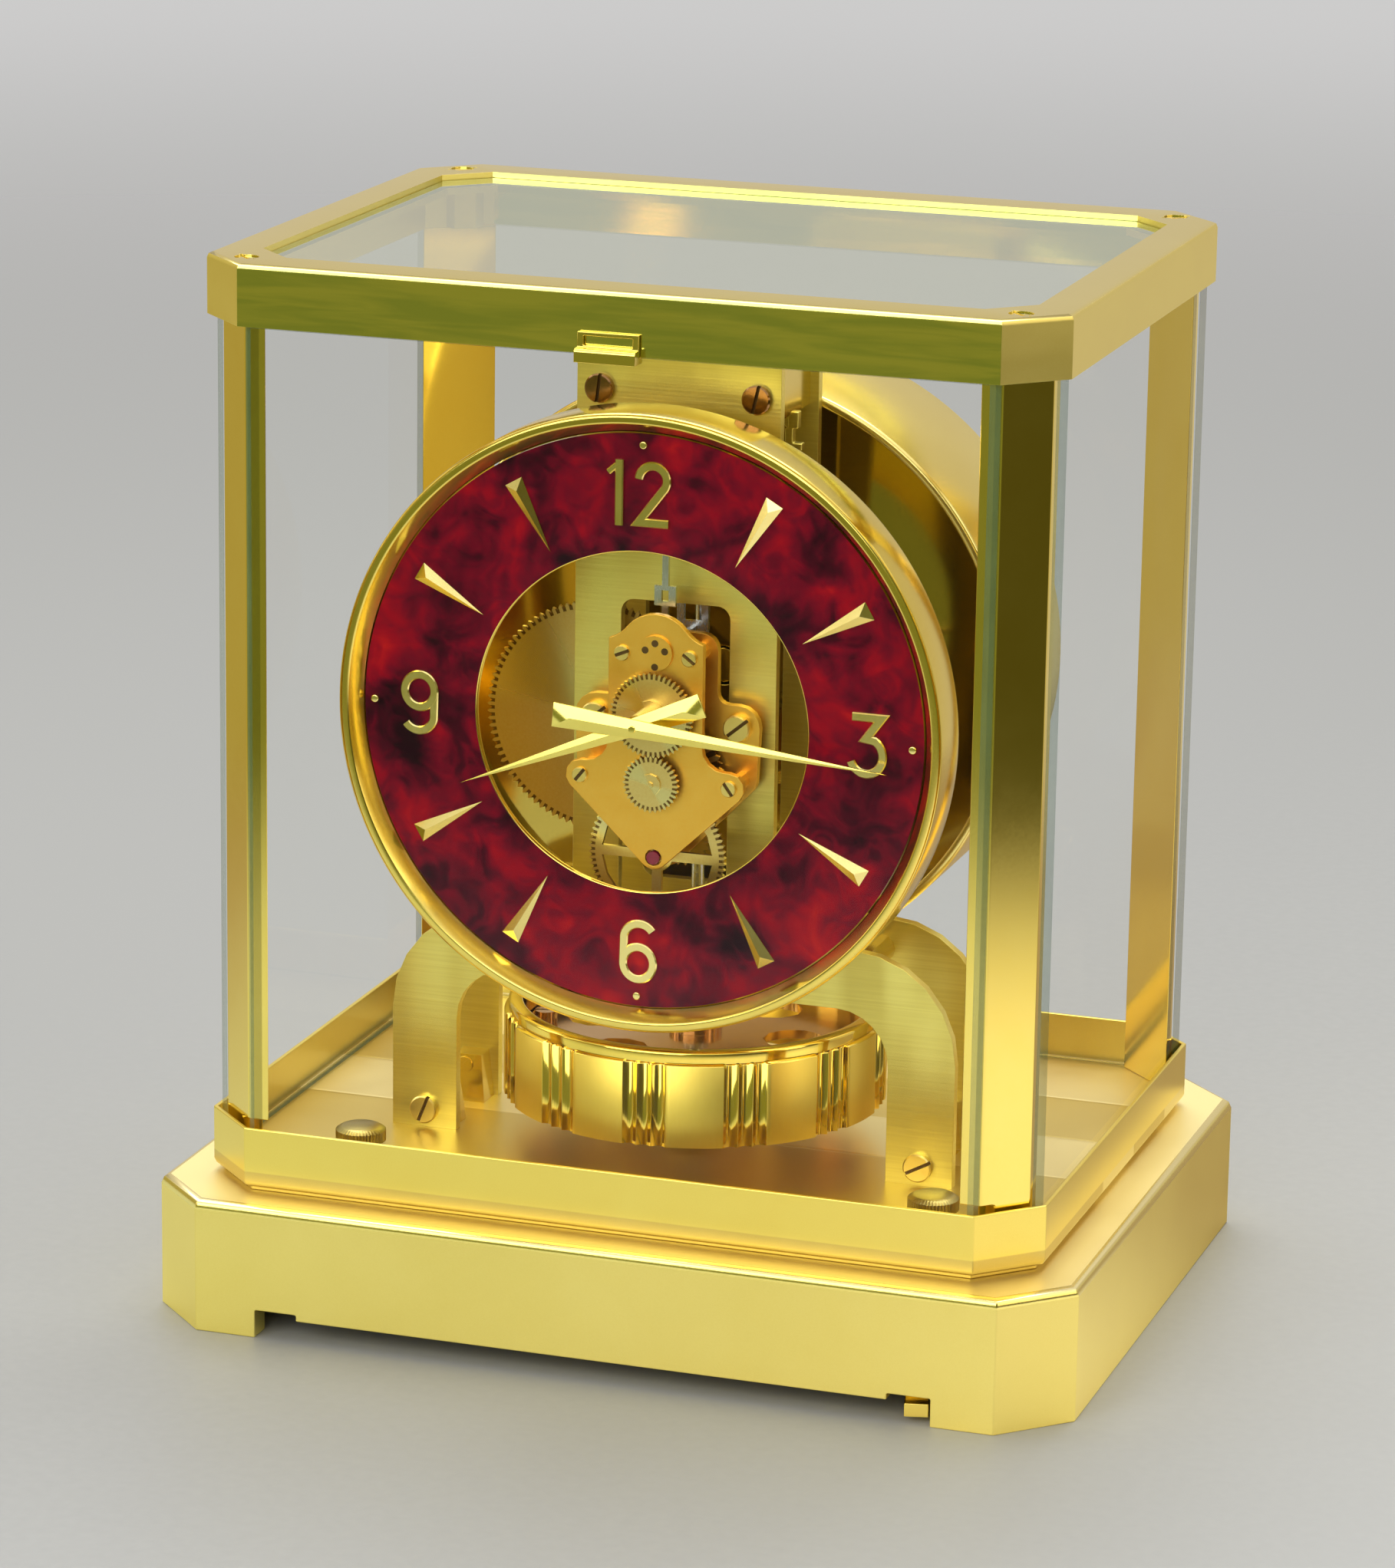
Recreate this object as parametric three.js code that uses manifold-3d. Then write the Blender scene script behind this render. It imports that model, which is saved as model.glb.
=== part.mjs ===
// Atmospheric clock: a gilt brass and glass case, a dial ring and a going train, a bellows drum that
// winds it, and a torsion pendulum that hangs from a wire.
// Millimetres. +Z is up, the dial faces -Y, and the origin is under the middle of the base.
import * as THREE from "three";
import { ConvexGeometry } from "three/addons/geometries/ConvexGeometry.js";
import { mergeVertices } from "three/addons/utils/BufferGeometryUtils.js";
import Module from "manifold-3d";

const wasm = await Module();
wasm.setup();

const TAU = Math.PI * 2;
const UP = Math.PI / 2;
const DEGREE = Math.PI / 180;

// Clearances
const GAP = 0.3;
const RUNNING = 0.35;
const PAST = 1;
const WELD = 1e-4;

// Base casting
const BASE_WIDTH = 209;
const BASE_DEPTH = 165;
const BASE_HEIGHT = 30;
const BASE_CHAMFER = 14;
const BASE_EDGE = 2;
const BASE_WALL = 6;
const BASE_DECK = 5;
const RELIEF_HALF_WIDTH = 76.6;
const RELIEF_HEIGHT = 4.9;
const RELIEF_END_WIDTH = 9.6;
const RELIEF_END_HEIGHT = 6.3;
const DECK_UNDERSIDE = BASE_HEIGHT - BASE_DECK;

// Plinth tray
const PLINTH_WIDTH = 190;
const PLINTH_DEPTH = 147;
const PLINTH_CHAMFER = 12.4;
const PLINTH_TOP = 44.6;
const PLINTH_EDGE = 1.6;
const PLINTH_RIM = 1;
const PLINTH_STEP = 1;
const PLINTH_STEP_INSET = 2;
const FLOOR = 34.3;

// Glass
const GLASS = 2;
const PANE_FOOT = 0.3;
const FRONT_FACE = PLINTH_DEPTH / 2 - PLINTH_RIM - GAP;
const SIDE_FACE = PLINTH_WIDTH / 2 - PLINTH_RIM - GAP;
const FRONT_BACK = FRONT_FACE - GLASS;
const SIDE_BACK = SIDE_FACE - GLASS;

// Corner posts
const POST_INSET = 3.2;
const POST_BACKING = 2.4;
const POST_RELIEF = 2.4;
const POST_LINE = PLINTH_WIDTH / 2 + PLINTH_DEPTH / 2 - PLINTH_CHAMFER - POST_INSET;

// Top frame
const CASE_HEIGHT = 235;
const RAIL_HEIGHT = 13.3;
const RAIL_EDGE = 1.2;
const RAIL_WALL = 4;
const RAIL_FLANGE = 4.2;
const RAIL_BOTTOM = CASE_HEIGHT - RAIL_HEIGHT;
const TOP_CHAMFER = 11.8;
const TOP_BORDER_SIDE = 9.5;
const TOP_BORDER_FRONT = 11;
const TOP_OPENING_CHAMFER = 9;
const TOP_LEDGE = 2;
const TOP_LEDGE_HEIGHT = 1.6;
const TOP_RECESS = 1.3;
const CORNER_SCREW_X = 84.7;
const CORNER_SCREW_Y = 64.5;
const CORNER_SCREW_RADIUS = 2.4;
const CORNER_SCREW_DEPTH = 1.2;
const CORNER_BOSS_RADIUS = 5;

// Glass catch
const CATCH_LEFT = -7;
const CATCH_RIGHT = 6.4;
const CATCH_REACH = 1.7;
const CATCH_SHEET = 0.8;
const CATCH_RISE = 4.7;
const CATCH_NOSE_RISE = 1.5;
const CATCH_NOSE_DROP = 1.4;
const CATCH_NOSE_REACH = 3.4;
const CATCH_BORDER = 1.3;
const CATCH_TOP = RAIL_BOTTOM + CATCH_RISE;
const CATCH_NOSE_TOP = RAIL_BOTTOM + CATCH_NOSE_RISE;
const CATCH_NOSE_BOTTOM = RAIL_BOTTOM - CATCH_NOSE_DROP;

// Frame plates
const PLATE = 2.5;
const FRONT_PLATE_FACE = -29;
const REAR_PLATE_FACE = -2;
const LEG_OUTER = 65.2;
const LEG_INNER = 50;
const ARCH_TOP = 72.5;
const ARCH_RADIUS = 12;
const SHOULDER_TOP = 86;
const SHOULDER_RADIUS = 24;
const COLUMN_HALF = 23;
const COLUMN_FILLET = 8;
const COLUMN_HEADROOM = 5.7;
const COLUMN_TOP = RAIL_BOTTOM - COLUMN_HEADROOM;
const COLUMN_CORNER = 2;
const WINDOW_HALF = 12.4;
const WINDOW_BOTTOM = 90;
const WINDOW_TOP = 159.7;
const WINDOW_CORNER = 3;
const REAR_WINDOW_HALF = 16;
const REAR_WINDOW_MARGIN = 20;
const REAR_WINDOW_TOP = COLUMN_TOP - REAR_WINDOW_MARGIN;

// Feet of the frame
const BLOCK_INNER = 51;
const BLOCK_WIDTH = 8.5;
const BLOCK_HEIGHT = 10.8;
const BLOCK_DEPTH = 6.5;
const BLOCK_TAPER = 1.2;
const FOOT_SCREW_X = 57.5;
const FOOT_SCREW_Z = 38.6;
const REAR_SCREW_X = 56;
const REAR_SCREW_RISE = 8.4;

// Screws
const FRAME_SCREW_RADIUS = 3.2;
const FRAME_SCREW_HEAD = 1.6;
const PLATE_SCREW_RADIUS = 1.7;
const PLATE_SCREW_HEAD = 0.8;
const WING_SCREW_RADIUS = 3;
const WING_SCREW_HEAD = 2;
const SMALL_SCREW_RADIUS = 1.9;
const SLOT_WIDTH = 0.7;
const SLOT_SHARE = 0.5;
const SLOT_REACH = 3;
const SCREW_SIDES = 10;
const HOLE_SIDES = 8;
const BORE_SIDES = 6;
const RING_SIDES = 36;
const SMALL_RING_SIDES = 20;

// Suspension
const PENDULUM_Y = -10.7;
const BLOCK_DROP = 5;
const BLOCK_TALL = 11;
const BLOCK_TOP = COLUMN_TOP - BLOCK_DROP;
const BLOCK_BOTTOM = BLOCK_TOP - BLOCK_TALL;
const BLOCK_HALF = 21;
const TOP_SCREW_X = 17.7;
const TOP_SCREW_DROP = 10.4;
const TOP_SCREW_Z = COLUMN_TOP - TOP_SCREW_DROP;
const CLAMP_HEIGHT = 3;
const WIRE_RADIUS = 0.6;
const TUBE_RADIUS = 2.4;
const TUBE_BORE = 1.6;
const TUBE_LENGTH = 28;
const TUBE_BOTTOM = BLOCK_BOTTOM - TUBE_LENGTH;
const PILLAR_RADIUS = 3.2;
const PILLAR_X = 40;
const PILLAR_Z = 79;

// Pendulum
const PENDULUM_RADIUS = 42.7;
const PENDULUM_WALL = 4.2;
const PENDULUM_BOTTOM = 44.4;
const PENDULUM_TOP = 63.2;
const RIM_HEIGHT = 2.6;
const RIM_INSET = 1;
const RIM_WIDTH = 3.2;
const RIM_EDGE = 0.6;
const FLUTE_GROUPS = 12;
const FLUTES_IN_GROUP = 3;
const FLUTE_WIDTH = 3.3;
const FLUTE_DEPTH = 1;
const FLUTE_STEPS = 2;
const FLUTE_TURN = 3.2 * DEGREE;
const WEB_TOP = 58.5;
const WEB_THICKNESS = 2;
const WEB_HOLES = 6;
const WEB_HOLE_RADIUS = 7;
const WEB_HOLE_CENTRE = 23;
const HUB_RADIUS = 6;
const NUT_CENTRE = 33.5;
const NUT_RADIUS = 2.6;
const NUT_HEIGHT = 3.2;
const NUTS = 3;
const STAFF_RADIUS = 1.5;
const STAFF_TOP = 168;
const ROLLER_Z = 163;
const ROLLER_RADIUS = 3.4;
const ROLLER_HEIGHT = 1.2;

// Bellows drum
const CENTRE_Z = 138.2;
const DRUM_RADIUS = 67;
const DRUM_SHEET = 1.6;
const DRUM_DEPTH = 44;
const DRUM_RIM = 2.4;
const DRUM_EDGE = 1.5;
const DRUM_RECESS = 6;
const DRUM_BOSS_RADIUS = 27;
const DRUM_BOSS_RISE = 2;
const BELLOWS_RADIUS = 56;
const BELLOWS_CORE = 40;
const BELLOWS_FOLDS = 4;
const BELLOWS_DEPTH = 22;
const CAP_RADIUS = 36;
const CAP_THICKNESS = 2;
const CAP_STEM_RADIUS = 4;
const DRUM_BACK = REAR_PLATE_FACE + PLATE + DRUM_DEPTH;

// Dial
const DIAL_FACE = -51.5;
const DIAL_THICKNESS = 1.5;
const DIAL_OPENING = 37.3;
const DIAL_RADIUS = 63.2;
const BEZEL_RADIUS = 67.7;
const BEZEL_FRONT = -55.3;
const BEZEL_BACK = -42;
const BEZEL_RIDGE = 66.6;
const BEZEL_CREST = 65.6;
const BEZEL_EDGE = 1;
const BEZEL_SHELL = 1.6;
const NUMERAL_RADIUS = 50.4;
const NUMERAL_HEIGHT = 14.2;
const NUMERAL_WIDTH = 8.4;
const NUMERAL_STROKE = 1.9;
const NUMERAL_RELIEF = 0.8;
const ONE_FLAG_REACH = 1.2;
const ONE_FLAG_STROKE = 0.6;
const TWO_START = 171 * DEGREE;
const TWO_END = -27 * DEGREE;
const THREE_END = -171 * DEGREE;
const THREE_STRETCH = 1.15;
const SIX_BOWL = 1.1;
const SIX_END = 22.5 * DEGREE;
const TWELVE_SPREAD = 7.4;
const MARKER_INNER = 41.3;
const MARKER_OUTER = 58.2;
const MARKER_WIDTH = 4.2;
const MARKER_CREST = 1.5;
const MARKER_END = 2.2;
const DOT_CENTRE = 60.5;
const DOT_RADIUS = 0.85;
const DIAL_FOOT_RADIUS = 2.6;
const DIAL_FOOT_UPPER_X = 14;
const DIAL_FOOT_UPPER_Z = 193;
const DIAL_FOOT_LOWER_X = 17;
const DIAL_FOOT_LOWER_Z = 81;

// Hands
const MINUTE_FRONT = -56.2;
const HOUR_FRONT = -54.1;
const MINUTE_TIP = 56.8;
const MINUTE_TAIL = 18.2;
const HOUR_TIP = 43;
const HOUR_TAIL = 15.8;
const HAND_WIDTH = 5.4;
const HAND_SHEET = 0.5;
const HAND_CREST = 0.9;
const HAND_BEVEL = 4.2;
const MINUTE_ANGLE = 94.8 * DEGREE;
const HOUR_ANGLE = 247.9 * DEGREE;
const HAND_PIN_RADIUS = 0.8;

// Movement plates
const FRONT_MOVEMENT = -42;
const REAR_MOVEMENT = -33.8;
const MOVEMENT_PLATE = 1.8;
const REAR_MOVEMENT_PLATE = 2;
const CROWN_RADIUS = 8.5;
const CROWN_TURN = 38 * DEGREE;
const CROWN_FLARE = 8;
const NECK_HALF = 10.7;
const WING_FLARE = 5;
const WING_RADIUS = 3.4;
const TIP_Z = 106.8;
const TIP_RADIUS = 3.4;
const REAR_TIP_RADIUS = 4.6;
const REAR_LOWER_RADIUS = 3.6;
const REAR_WING_RADIUS = 4.8;
const REAR_NECK_RADIUS = 3.8;
const REAR_FLARE = 2.4;
const UPPER_SCREW_X = 7.6;
const UPPER_SCREW_Z = 150.9;
const LOWER_SCREW_X = 16.9;
const LOWER_SCREW_Z = 123;
const WING_SCREW_X = 16.2;
const WING_SCREW_Z = 134.6;
const MOVEMENT_PILLAR_RADIUS = 2;
const BUSH_RADIUS = 3.9;
const BUSH_HEIGHT = 0.7;
const BUSH_HOLE_RADIUS = 0.6;
const BUSH_HOLE_SIDE = 2.2;
const BUSH_HOLE_RISE = 0.6;
const BUSH_HOLE_UPPER = 2.2;
const BUSH_HOLE_LOWER = -3;
const JEWEL_RADIUS = 1.5;

// Train
const PALLET_Z = 151.5;
const MINUTE_ARBOR_DROP = 15.2;
const THIRD_ARBOR_DROP = 17;
const ESCAPE_X = -4.4;
const ESCAPE_Z = 144.4;
const BARREL_X = -19.6;
const BARREL_Z = 131.1;
const ARBOR_RADIUS = 0.8;
const CENTRE_ARBOR_RADIUS = 1.1;
const PIPE_RADIUS = 2.4;
const PIPE_BORE = 1.6;
const HOUR_BOSS_RADIUS = 3.6;
const WHEEL_SHEET = 1;
const PINION_LENGTH = 1.6;
const FRONT_LAYER = -39.6;
const REAR_LAYER = -36.4;
const MOTION_LAYER = -44.6;
const GREAT_LAYER = -22.6;
const ADDENDUM = 0.8;
const DEDENDUM = 1.15;
const ROOT_SHARE = 0.23;
const TIP_SHARE = 0.08;
const CANNON_LEAVES = 7;
const MINUTE_TEETH = 56;
const MOTION_TEETH = 32;
const HOUR_TEETH = 48;
const MINUTE_LEAVES = 8;
const THIRD_TEETH = 72;
const THIRD_LEAVES = 24;
const GREAT_TEETH = 96;
const CENTRE_TEETH = 32;
const ESCAPE_LEAVES = 8;
const ESCAPE_TEETH = 15;
const ESCAPE_RADIUS = 4.6;
const ESCAPE_TOOTH = 1.5;
const BARREL_RADIUS = 15.6;
const BARREL_LENGTH = 10;
const BARREL_ARBOR_RADIUS = 1.6;
const CROSSINGS = 4;
const THIRD_RIM = 2.2;
const THIRD_HUB = 3.6;
const SPOKE = 1.1;

// Pallets and crutch
const PALLET_HUB = 1.7;
const PALLET_REACH = 30 * DEGREE;
const PALLET_CLEAR = 0.75;
const PALLET_ARM = 0.9;
const FORK_BASE_BOTTOM = 160.6;
const FORK_BASE_TOP = 165;
const FORK_BASE_HALF = 2.4;
const FORK_SLOT_HALF = 0.8;
const FORK_FRAME = 1;
const STEM_HALF = 0.7;
const STEM_TOP = 176;
const CRUTCH_Y = -17.4;
const CRUTCH_SHEET = 1.2;
const CRUTCH_HALF = 3.6;
const CRUTCH_SLOT_HALF = 2;
const CRUTCH_TOP = 165;

// Pendulum lock
const LOCK_SIDE_SETBACK = 7.6;
const LOCK_FRONT_SETBACK = 18.5;
const LOCK_PIVOT_X = RELIEF_HALF_WIDTH - LOCK_SIDE_SETBACK;
const LOCK_PIVOT_Y = LOCK_FRONT_SETBACK - BASE_DEPTH / 2;
const LOCK_ARM = 2.6;
const LOCK_ARM_BOTTOM = 8;
const LOCK_ARM_HALF = 2.2;
const LOCK_HUB_RADIUS = 4.6;
const LOCK_STUD_RADIUS = 2.2;
const LOCK_REACH = 17.8;
const LOCK_TAB_HALF = 2.6;
const LOCK_TAB_BOTTOM = 1.4;
const LOCK_TAB_TOP = 4.4;
const LOCK_LEG = 2.4;
const LOCK_TURN = 28 * DEGREE;
const PLUNGER_RADIUS = 3;
const PLUNGER_TIP = 1;
const PLUNGER_BOTTOM = 12;
const PLUNGER_HEAD = 6;
const PLUNGER_TOP = 36;
const PLUNGER_RISE = 7.7;
const CAM_WIDTH = 6;
const CAM_STEPS = 4;

// Levelling screws
const LEVEL_SIDE_SETBACK = 29;
const LEVEL_FRONT_SETBACK = 27.1;
const LEVEL_X = PLINTH_WIDTH / 2 - LEVEL_SIDE_SETBACK;
const LEVEL_Y = LEVEL_FRONT_SETBACK - PLINTH_DEPTH / 2;
const LEVEL_HEAD_RADIUS = 5.6;
const LEVEL_HEAD_BOTTOM = 35.6;
const LEVEL_HEAD_TOP = 39;
const LEVEL_CROWN = 0.8;
const LEVEL_SHANK_RADIUS = 2.4;
const LEVEL_FOOT_RADIUS = 4;
const LEVEL_FOOT_BOTTOM = 0.4;
const LEVEL_FOOT_TOP = 3;
const KNURLS = 16;
const KNURL_DEPTH = 0.35;

// Arbors that follow from the distances above
const MINUTE_ARBOR_Z = CENTRE_Z - MINUTE_ARBOR_DROP;
const THIRD_ARBOR_Z = MINUTE_ARBOR_Z - THIRD_ARBOR_DROP;

// Finishes
const gilt = finish(0xc9a227, 0.28, 1);
const satin = finish(0xd4b24a, 0.42, 1);
const rose = finish(0xd08a3a, 0.3, 1);
const steel = finish(0x8a949c, 0.35, 1);
const glass = finish(0xcfd8cf, 0.05, 0);
const marbled = finish(0x7c0f1c, 0.18, 0);
const ruby = finish(0x8c1236, 0.1, 0);

const group = new THREE.Group();

function finish(color, roughness, metalness) {
  return new THREE.MeshStandardMaterial({ color, roughness, metalness });
}

// A closed three.js geometry as a solid that can be joined and cut
function solid(geometry) {
  const bare = geometry.clone();
  bare.deleteAttribute("normal");
  bare.deleteAttribute("uv");
  const merged = mergeVertices(bare, WELD);
  const triVerts = new Uint32Array(merged.index.array);
  const vertProperties = merged.attributes.position.array;
  return new wasm.Manifold(new wasm.Mesh({ numProp: 3, vertProperties, triVerts }));
}

function node(name, body, material) {
  const mesh = body.getMesh();
  const geometry = new THREE.BufferGeometry();
  geometry.setAttribute("position", new THREE.BufferAttribute(mesh.vertProperties, 3));
  geometry.setIndex(new THREE.BufferAttribute(mesh.triVerts, 1));
  geometry.computeVertexNormals();
  const made = new THREE.Mesh(geometry, material);
  made.name = name;
  group.add(made);
}

function join(...bodies) {
  return bodies.reduce((whole, body) => whole.add(body));
}

function cut(body, ...tools) {
  return tools.reduce((rest, tool) => rest.subtract(tool), body);
}

function box(x0, x1, y0, y1, z0, z1) {
  const geometry = new THREE.BoxGeometry(x1 - x0, y1 - y0, z1 - z0);
  return solid(geometry.translate((x0 + x1) / 2, (y0 + y1) / 2, (z0 + z1) / 2));
}

// A round rod along Y between two depths
function rodY(radius, front, back, x, z, sides = 12) {
  const geometry = new THREE.CylinderGeometry(radius, radius, back - front, sides);
  return solid(geometry.translate(x, (front + back) / 2, z));
}

// A round rod along Z between two heights
function rodZ(radius, bottom, top, x, y, sides = 12) {
  const geometry = new THREE.CylinderGeometry(radius, radius, top - bottom, sides);
  return solid(geometry.rotateX(UP).translate(x, y, (bottom + top) / 2));
}

// A hole that passes a little beyond both faces of what it pierces
function boreY(radius, front, back, x, z, sides = SCREW_SIDES) {
  return rodY(radius, front - PAST, back + PAST, x, z, sides);
}

// An outline drawn in X and Z, given thickness along Y
function plateY(shape, front, back, curveSegments = 2) {
  const geometry = new THREE.ExtrudeGeometry(shape, {
    depth: back - front,
    bevelEnabled: false,
    curveSegments,
  });
  return solid(geometry.rotateX(UP).translate(0, back, 0));
}

// An outline drawn in X and Y, given height along Z
function plateZ(shape, bottom, top, curveSegments = 2) {
  const geometry = new THREE.ExtrudeGeometry(shape, {
    depth: top - bottom,
    bevelEnabled: false,
    curveSegments,
  });
  return solid(geometry.translate(0, 0, bottom));
}

// A closed profile of radius and height, turned about its upright axis
function turned(profile, sides) {
  const points = profile.map(([radius, along]) => new THREE.Vector2(radius, along));
  if (THREE.ShapeUtils.area(points) < 0) points.reverse();
  points.push(points[0].clone());
  return new THREE.LatheGeometry(points, sides);
}

function turnedY(profile, sides, x = 0, z = CENTRE_Z) {
  return solid(turned(profile, sides).translate(x, 0, z));
}

function turnedZ(profile, sides, x = 0, y = PENDULUM_Y) {
  const flipped = profile.map(([radius, height]) => [radius, -height]);
  return solid(turned(flipped, sides).rotateX(-UP).translate(x, y, 0));
}

// The eight corners of a rectangle with its corners cut off
function octagon(width, depth, chamfer) {
  const x = width / 2;
  const y = depth / 2;
  const shape = new THREE.Shape();
  shape.moveTo(-x, -y + chamfer);
  shape.lineTo(-x + chamfer, -y);
  shape.lineTo(x - chamfer, -y);
  shape.lineTo(x, -y + chamfer);
  shape.lineTo(x, y - chamfer);
  shape.lineTo(x - chamfer, y);
  shape.lineTo(-x + chamfer, y);
  shape.lineTo(-x, y - chamfer);
  shape.closePath();
  return shape;
}

// An octagonal block with a rounded edge at the top, the bottom or both
function octagonBlock(width, depth, chamfer, bottom, top, edge, roundTop, roundBottom) {
  const low = roundBottom ? bottom : bottom - edge * 2;
  const high = roundTop ? top : top + edge * 2;
  const geometry = new THREE.ExtrudeGeometry(octagon(width, depth, chamfer), {
    depth: high - low - edge * 2,
    bevelSize: edge,
    bevelThickness: edge,
    bevelOffset: -edge,
    bevelSegments: 2,
  });
  const block = solid(geometry.translate(0, 0, low + edge));
  const reach = width + depth;
  const slab = box(-reach, reach, -reach, reach, bottom, top);
  return block.intersect(slab);
}

function inset(width, depth, chamfer, by) {
  const lost = by * (2 - Math.SQRT2);
  return octagon(width - by * 2, depth - by * 2, chamfer - lost);
}

function roundedRectangle(path, x0, x1, z0, z1, radius) {
  path.moveTo(x0 + radius, z0);
  path.lineTo(x1 - radius, z0);
  path.absarc(x1 - radius, z0 + radius, radius, -UP, 0, false);
  path.lineTo(x1, z1 - radius);
  path.absarc(x1 - radius, z1 - radius, radius, 0, UP, false);
  path.lineTo(x0 + radius, z1);
  path.absarc(x0 + radius, z1 - radius, radius, UP, Math.PI, false);
  path.lineTo(x0, z0 + radius);
  path.absarc(x0 + radius, z0 + radius, radius, Math.PI, Math.PI + UP, false);
}

// Slotted screw head that faces -Y, with its shank behind it
function screwY(radius, head, shank, face, x, z, slotTurn) {
  const top = rodY(radius, face - head, face, x, z, SCREW_SIDES);
  const slot = new THREE.BoxGeometry(radius * SLOT_REACH, head * SLOT_SHARE * 2, SLOT_WIDTH);
  slot.rotateY(slotTurn).translate(x, face - head, z);
  return cut(top, solid(slot)).add(rodY(radius / 2, face, face + shank, x, z, BORE_SIDES));
}

// Base casting: four corner feet, a relief under the front apron and a deck
function baseCasting() {
  const outer = octagonBlock(
    BASE_WIDTH, BASE_DEPTH, BASE_CHAMFER, 0, BASE_HEIGHT, BASE_EDGE, true, false,
  );
  const hollow = plateZ(inset(BASE_WIDTH, BASE_DEPTH, BASE_CHAMFER, BASE_WALL), -PAST, DECK_UNDERSIDE);
  const wallBack = -BASE_DEPTH / 2 + BASE_WALL + PAST;
  const wallFront = -BASE_DEPTH / 2 - PAST;
  const relief = box(-RELIEF_HALF_WIDTH, RELIEF_HALF_WIDTH, wallFront, wallBack, -PAST, RELIEF_HEIGHT);
  const ends = [-1, 1].map((side) => {
    const edge = side * RELIEF_HALF_WIDTH;
    const inner = edge - side * RELIEF_END_WIDTH;
    const left = Math.min(edge, inner);
    return box(left, left + RELIEF_END_WIDTH, wallFront, wallBack, -PAST, RELIEF_END_HEIGHT);
  });
  const shafts = shaftHoles(DECK_UNDERSIDE - PAST, BASE_HEIGHT + PAST);
  const shell = cut(outer, hollow, relief, ...ends, ...shafts);
  return join(shell, lockPost(LOCK_STUD_RADIUS, -PAST), lockPost(LOCK_HUB_RADIUS, LOCK_ARM + GAP));
}

// A round post for the lock lever, from a height over the lever's underside up into the deck
function lockPost(radius, rise) {
  return rodZ(radius, LOCK_ARM_BOTTOM + rise, DECK_UNDERSIDE + PAST, LOCK_PIVOT_X, LOCK_PIVOT_Y);
}

// Holes that the levelling screws and the lock plunger pass through
function shaftHoles(bottom, top) {
  const levels = [-1, 1].map((side) => {
    return rodZ(LEVEL_SHANK_RADIUS + RUNNING, bottom, top, side * LEVEL_X, LEVEL_Y);
  });
  return [...levels, rodZ(PLUNGER_RADIUS + RUNNING, bottom, top, 0, PENDULUM_Y)];
}

// Plinth tray: a thin upstanding rim round the floor that carries the panes, posts and frame
function plinthTray() {
  const bottom = BASE_HEIGHT + PLINTH_STEP;
  const outer = octagonBlock(
    PLINTH_WIDTH, PLINTH_DEPTH, PLINTH_CHAMFER, bottom, PLINTH_TOP, PLINTH_EDGE, false, true,
  );
  const inside = inset(PLINTH_WIDTH, PLINTH_DEPTH, PLINTH_CHAMFER, PLINTH_RIM);
  const under = inset(PLINTH_WIDTH, PLINTH_DEPTH, PLINTH_CHAMFER, PLINTH_STEP_INSET);
  const well = plateZ(inside, FLOOR, PLINTH_TOP + PAST);
  const seat = plateZ(under, BASE_HEIGHT, bottom + PLINTH_EDGE);
  return cut(outer.add(seat), well, ...shaftHoles(BASE_HEIGHT - PAST, FLOOR + PAST));
}

// An upright pane, its ends mitred to the chamfer of the case; the turn points its face outwards
function pane(face, turn) {
  const back = face - GLASS;
  const outerHalf = POST_LINE - face;
  const innerHalf = POST_LINE - back;
  const shape = new THREE.Shape();
  shape.moveTo(face, -outerHalf);
  shape.lineTo(face, outerHalf);
  shape.lineTo(back, innerHalf);
  shape.lineTo(back, -innerHalf);
  shape.closePath();
  return plateZ(shape, FLOOR + PANE_FOOT, RAIL_BOTTOM - GAP).rotate([0, 0, turn / DEGREE]);
}

// A corner post fills the chamfer between two panes and backs the ends of both
function cornerPost(sideX, sideY, bottom, top) {
  const frontLine = FRONT_BACK - GAP;
  const sideLine = SIDE_BACK - GAP;
  const shape = new THREE.Shape();
  shape.moveTo(sideX * (POST_LINE - frontLine), sideY * frontLine);
  shape.lineTo(sideX * sideLine, sideY * (POST_LINE - sideLine));
  shape.lineTo(sideX * sideLine, sideY * (POST_LINE - sideLine - POST_BACKING * 2));
  shape.lineTo(sideX * (POST_LINE - frontLine - POST_BACKING * 2), sideY * frontLine);
  shape.closePath();
  return plateZ(shape, bottom, top);
}

// The front posts are relieved at the foot, so the pane's lower edge swings in as the pane leans out
function post(sideX, sideY) {
  const whole = cornerPost(sideX, sideY, FLOOR, RAIL_BOTTOM);
  if (sideY > 0) return whole;
  const front = -FRONT_BACK - PAST;
  const back = GAP - FRONT_BACK + POST_RELIEF;
  const relief = box(-SIDE_FACE, SIDE_FACE, front, back, FLOOR - PAST, PLINTH_TOP + PAST);
  return cut(whole, relief);
}

function eachCorner(make) {
  return [-1, 1].flatMap((sideX) => [-1, 1].map((sideY) => make(sideX, sideY)));
}

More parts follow.
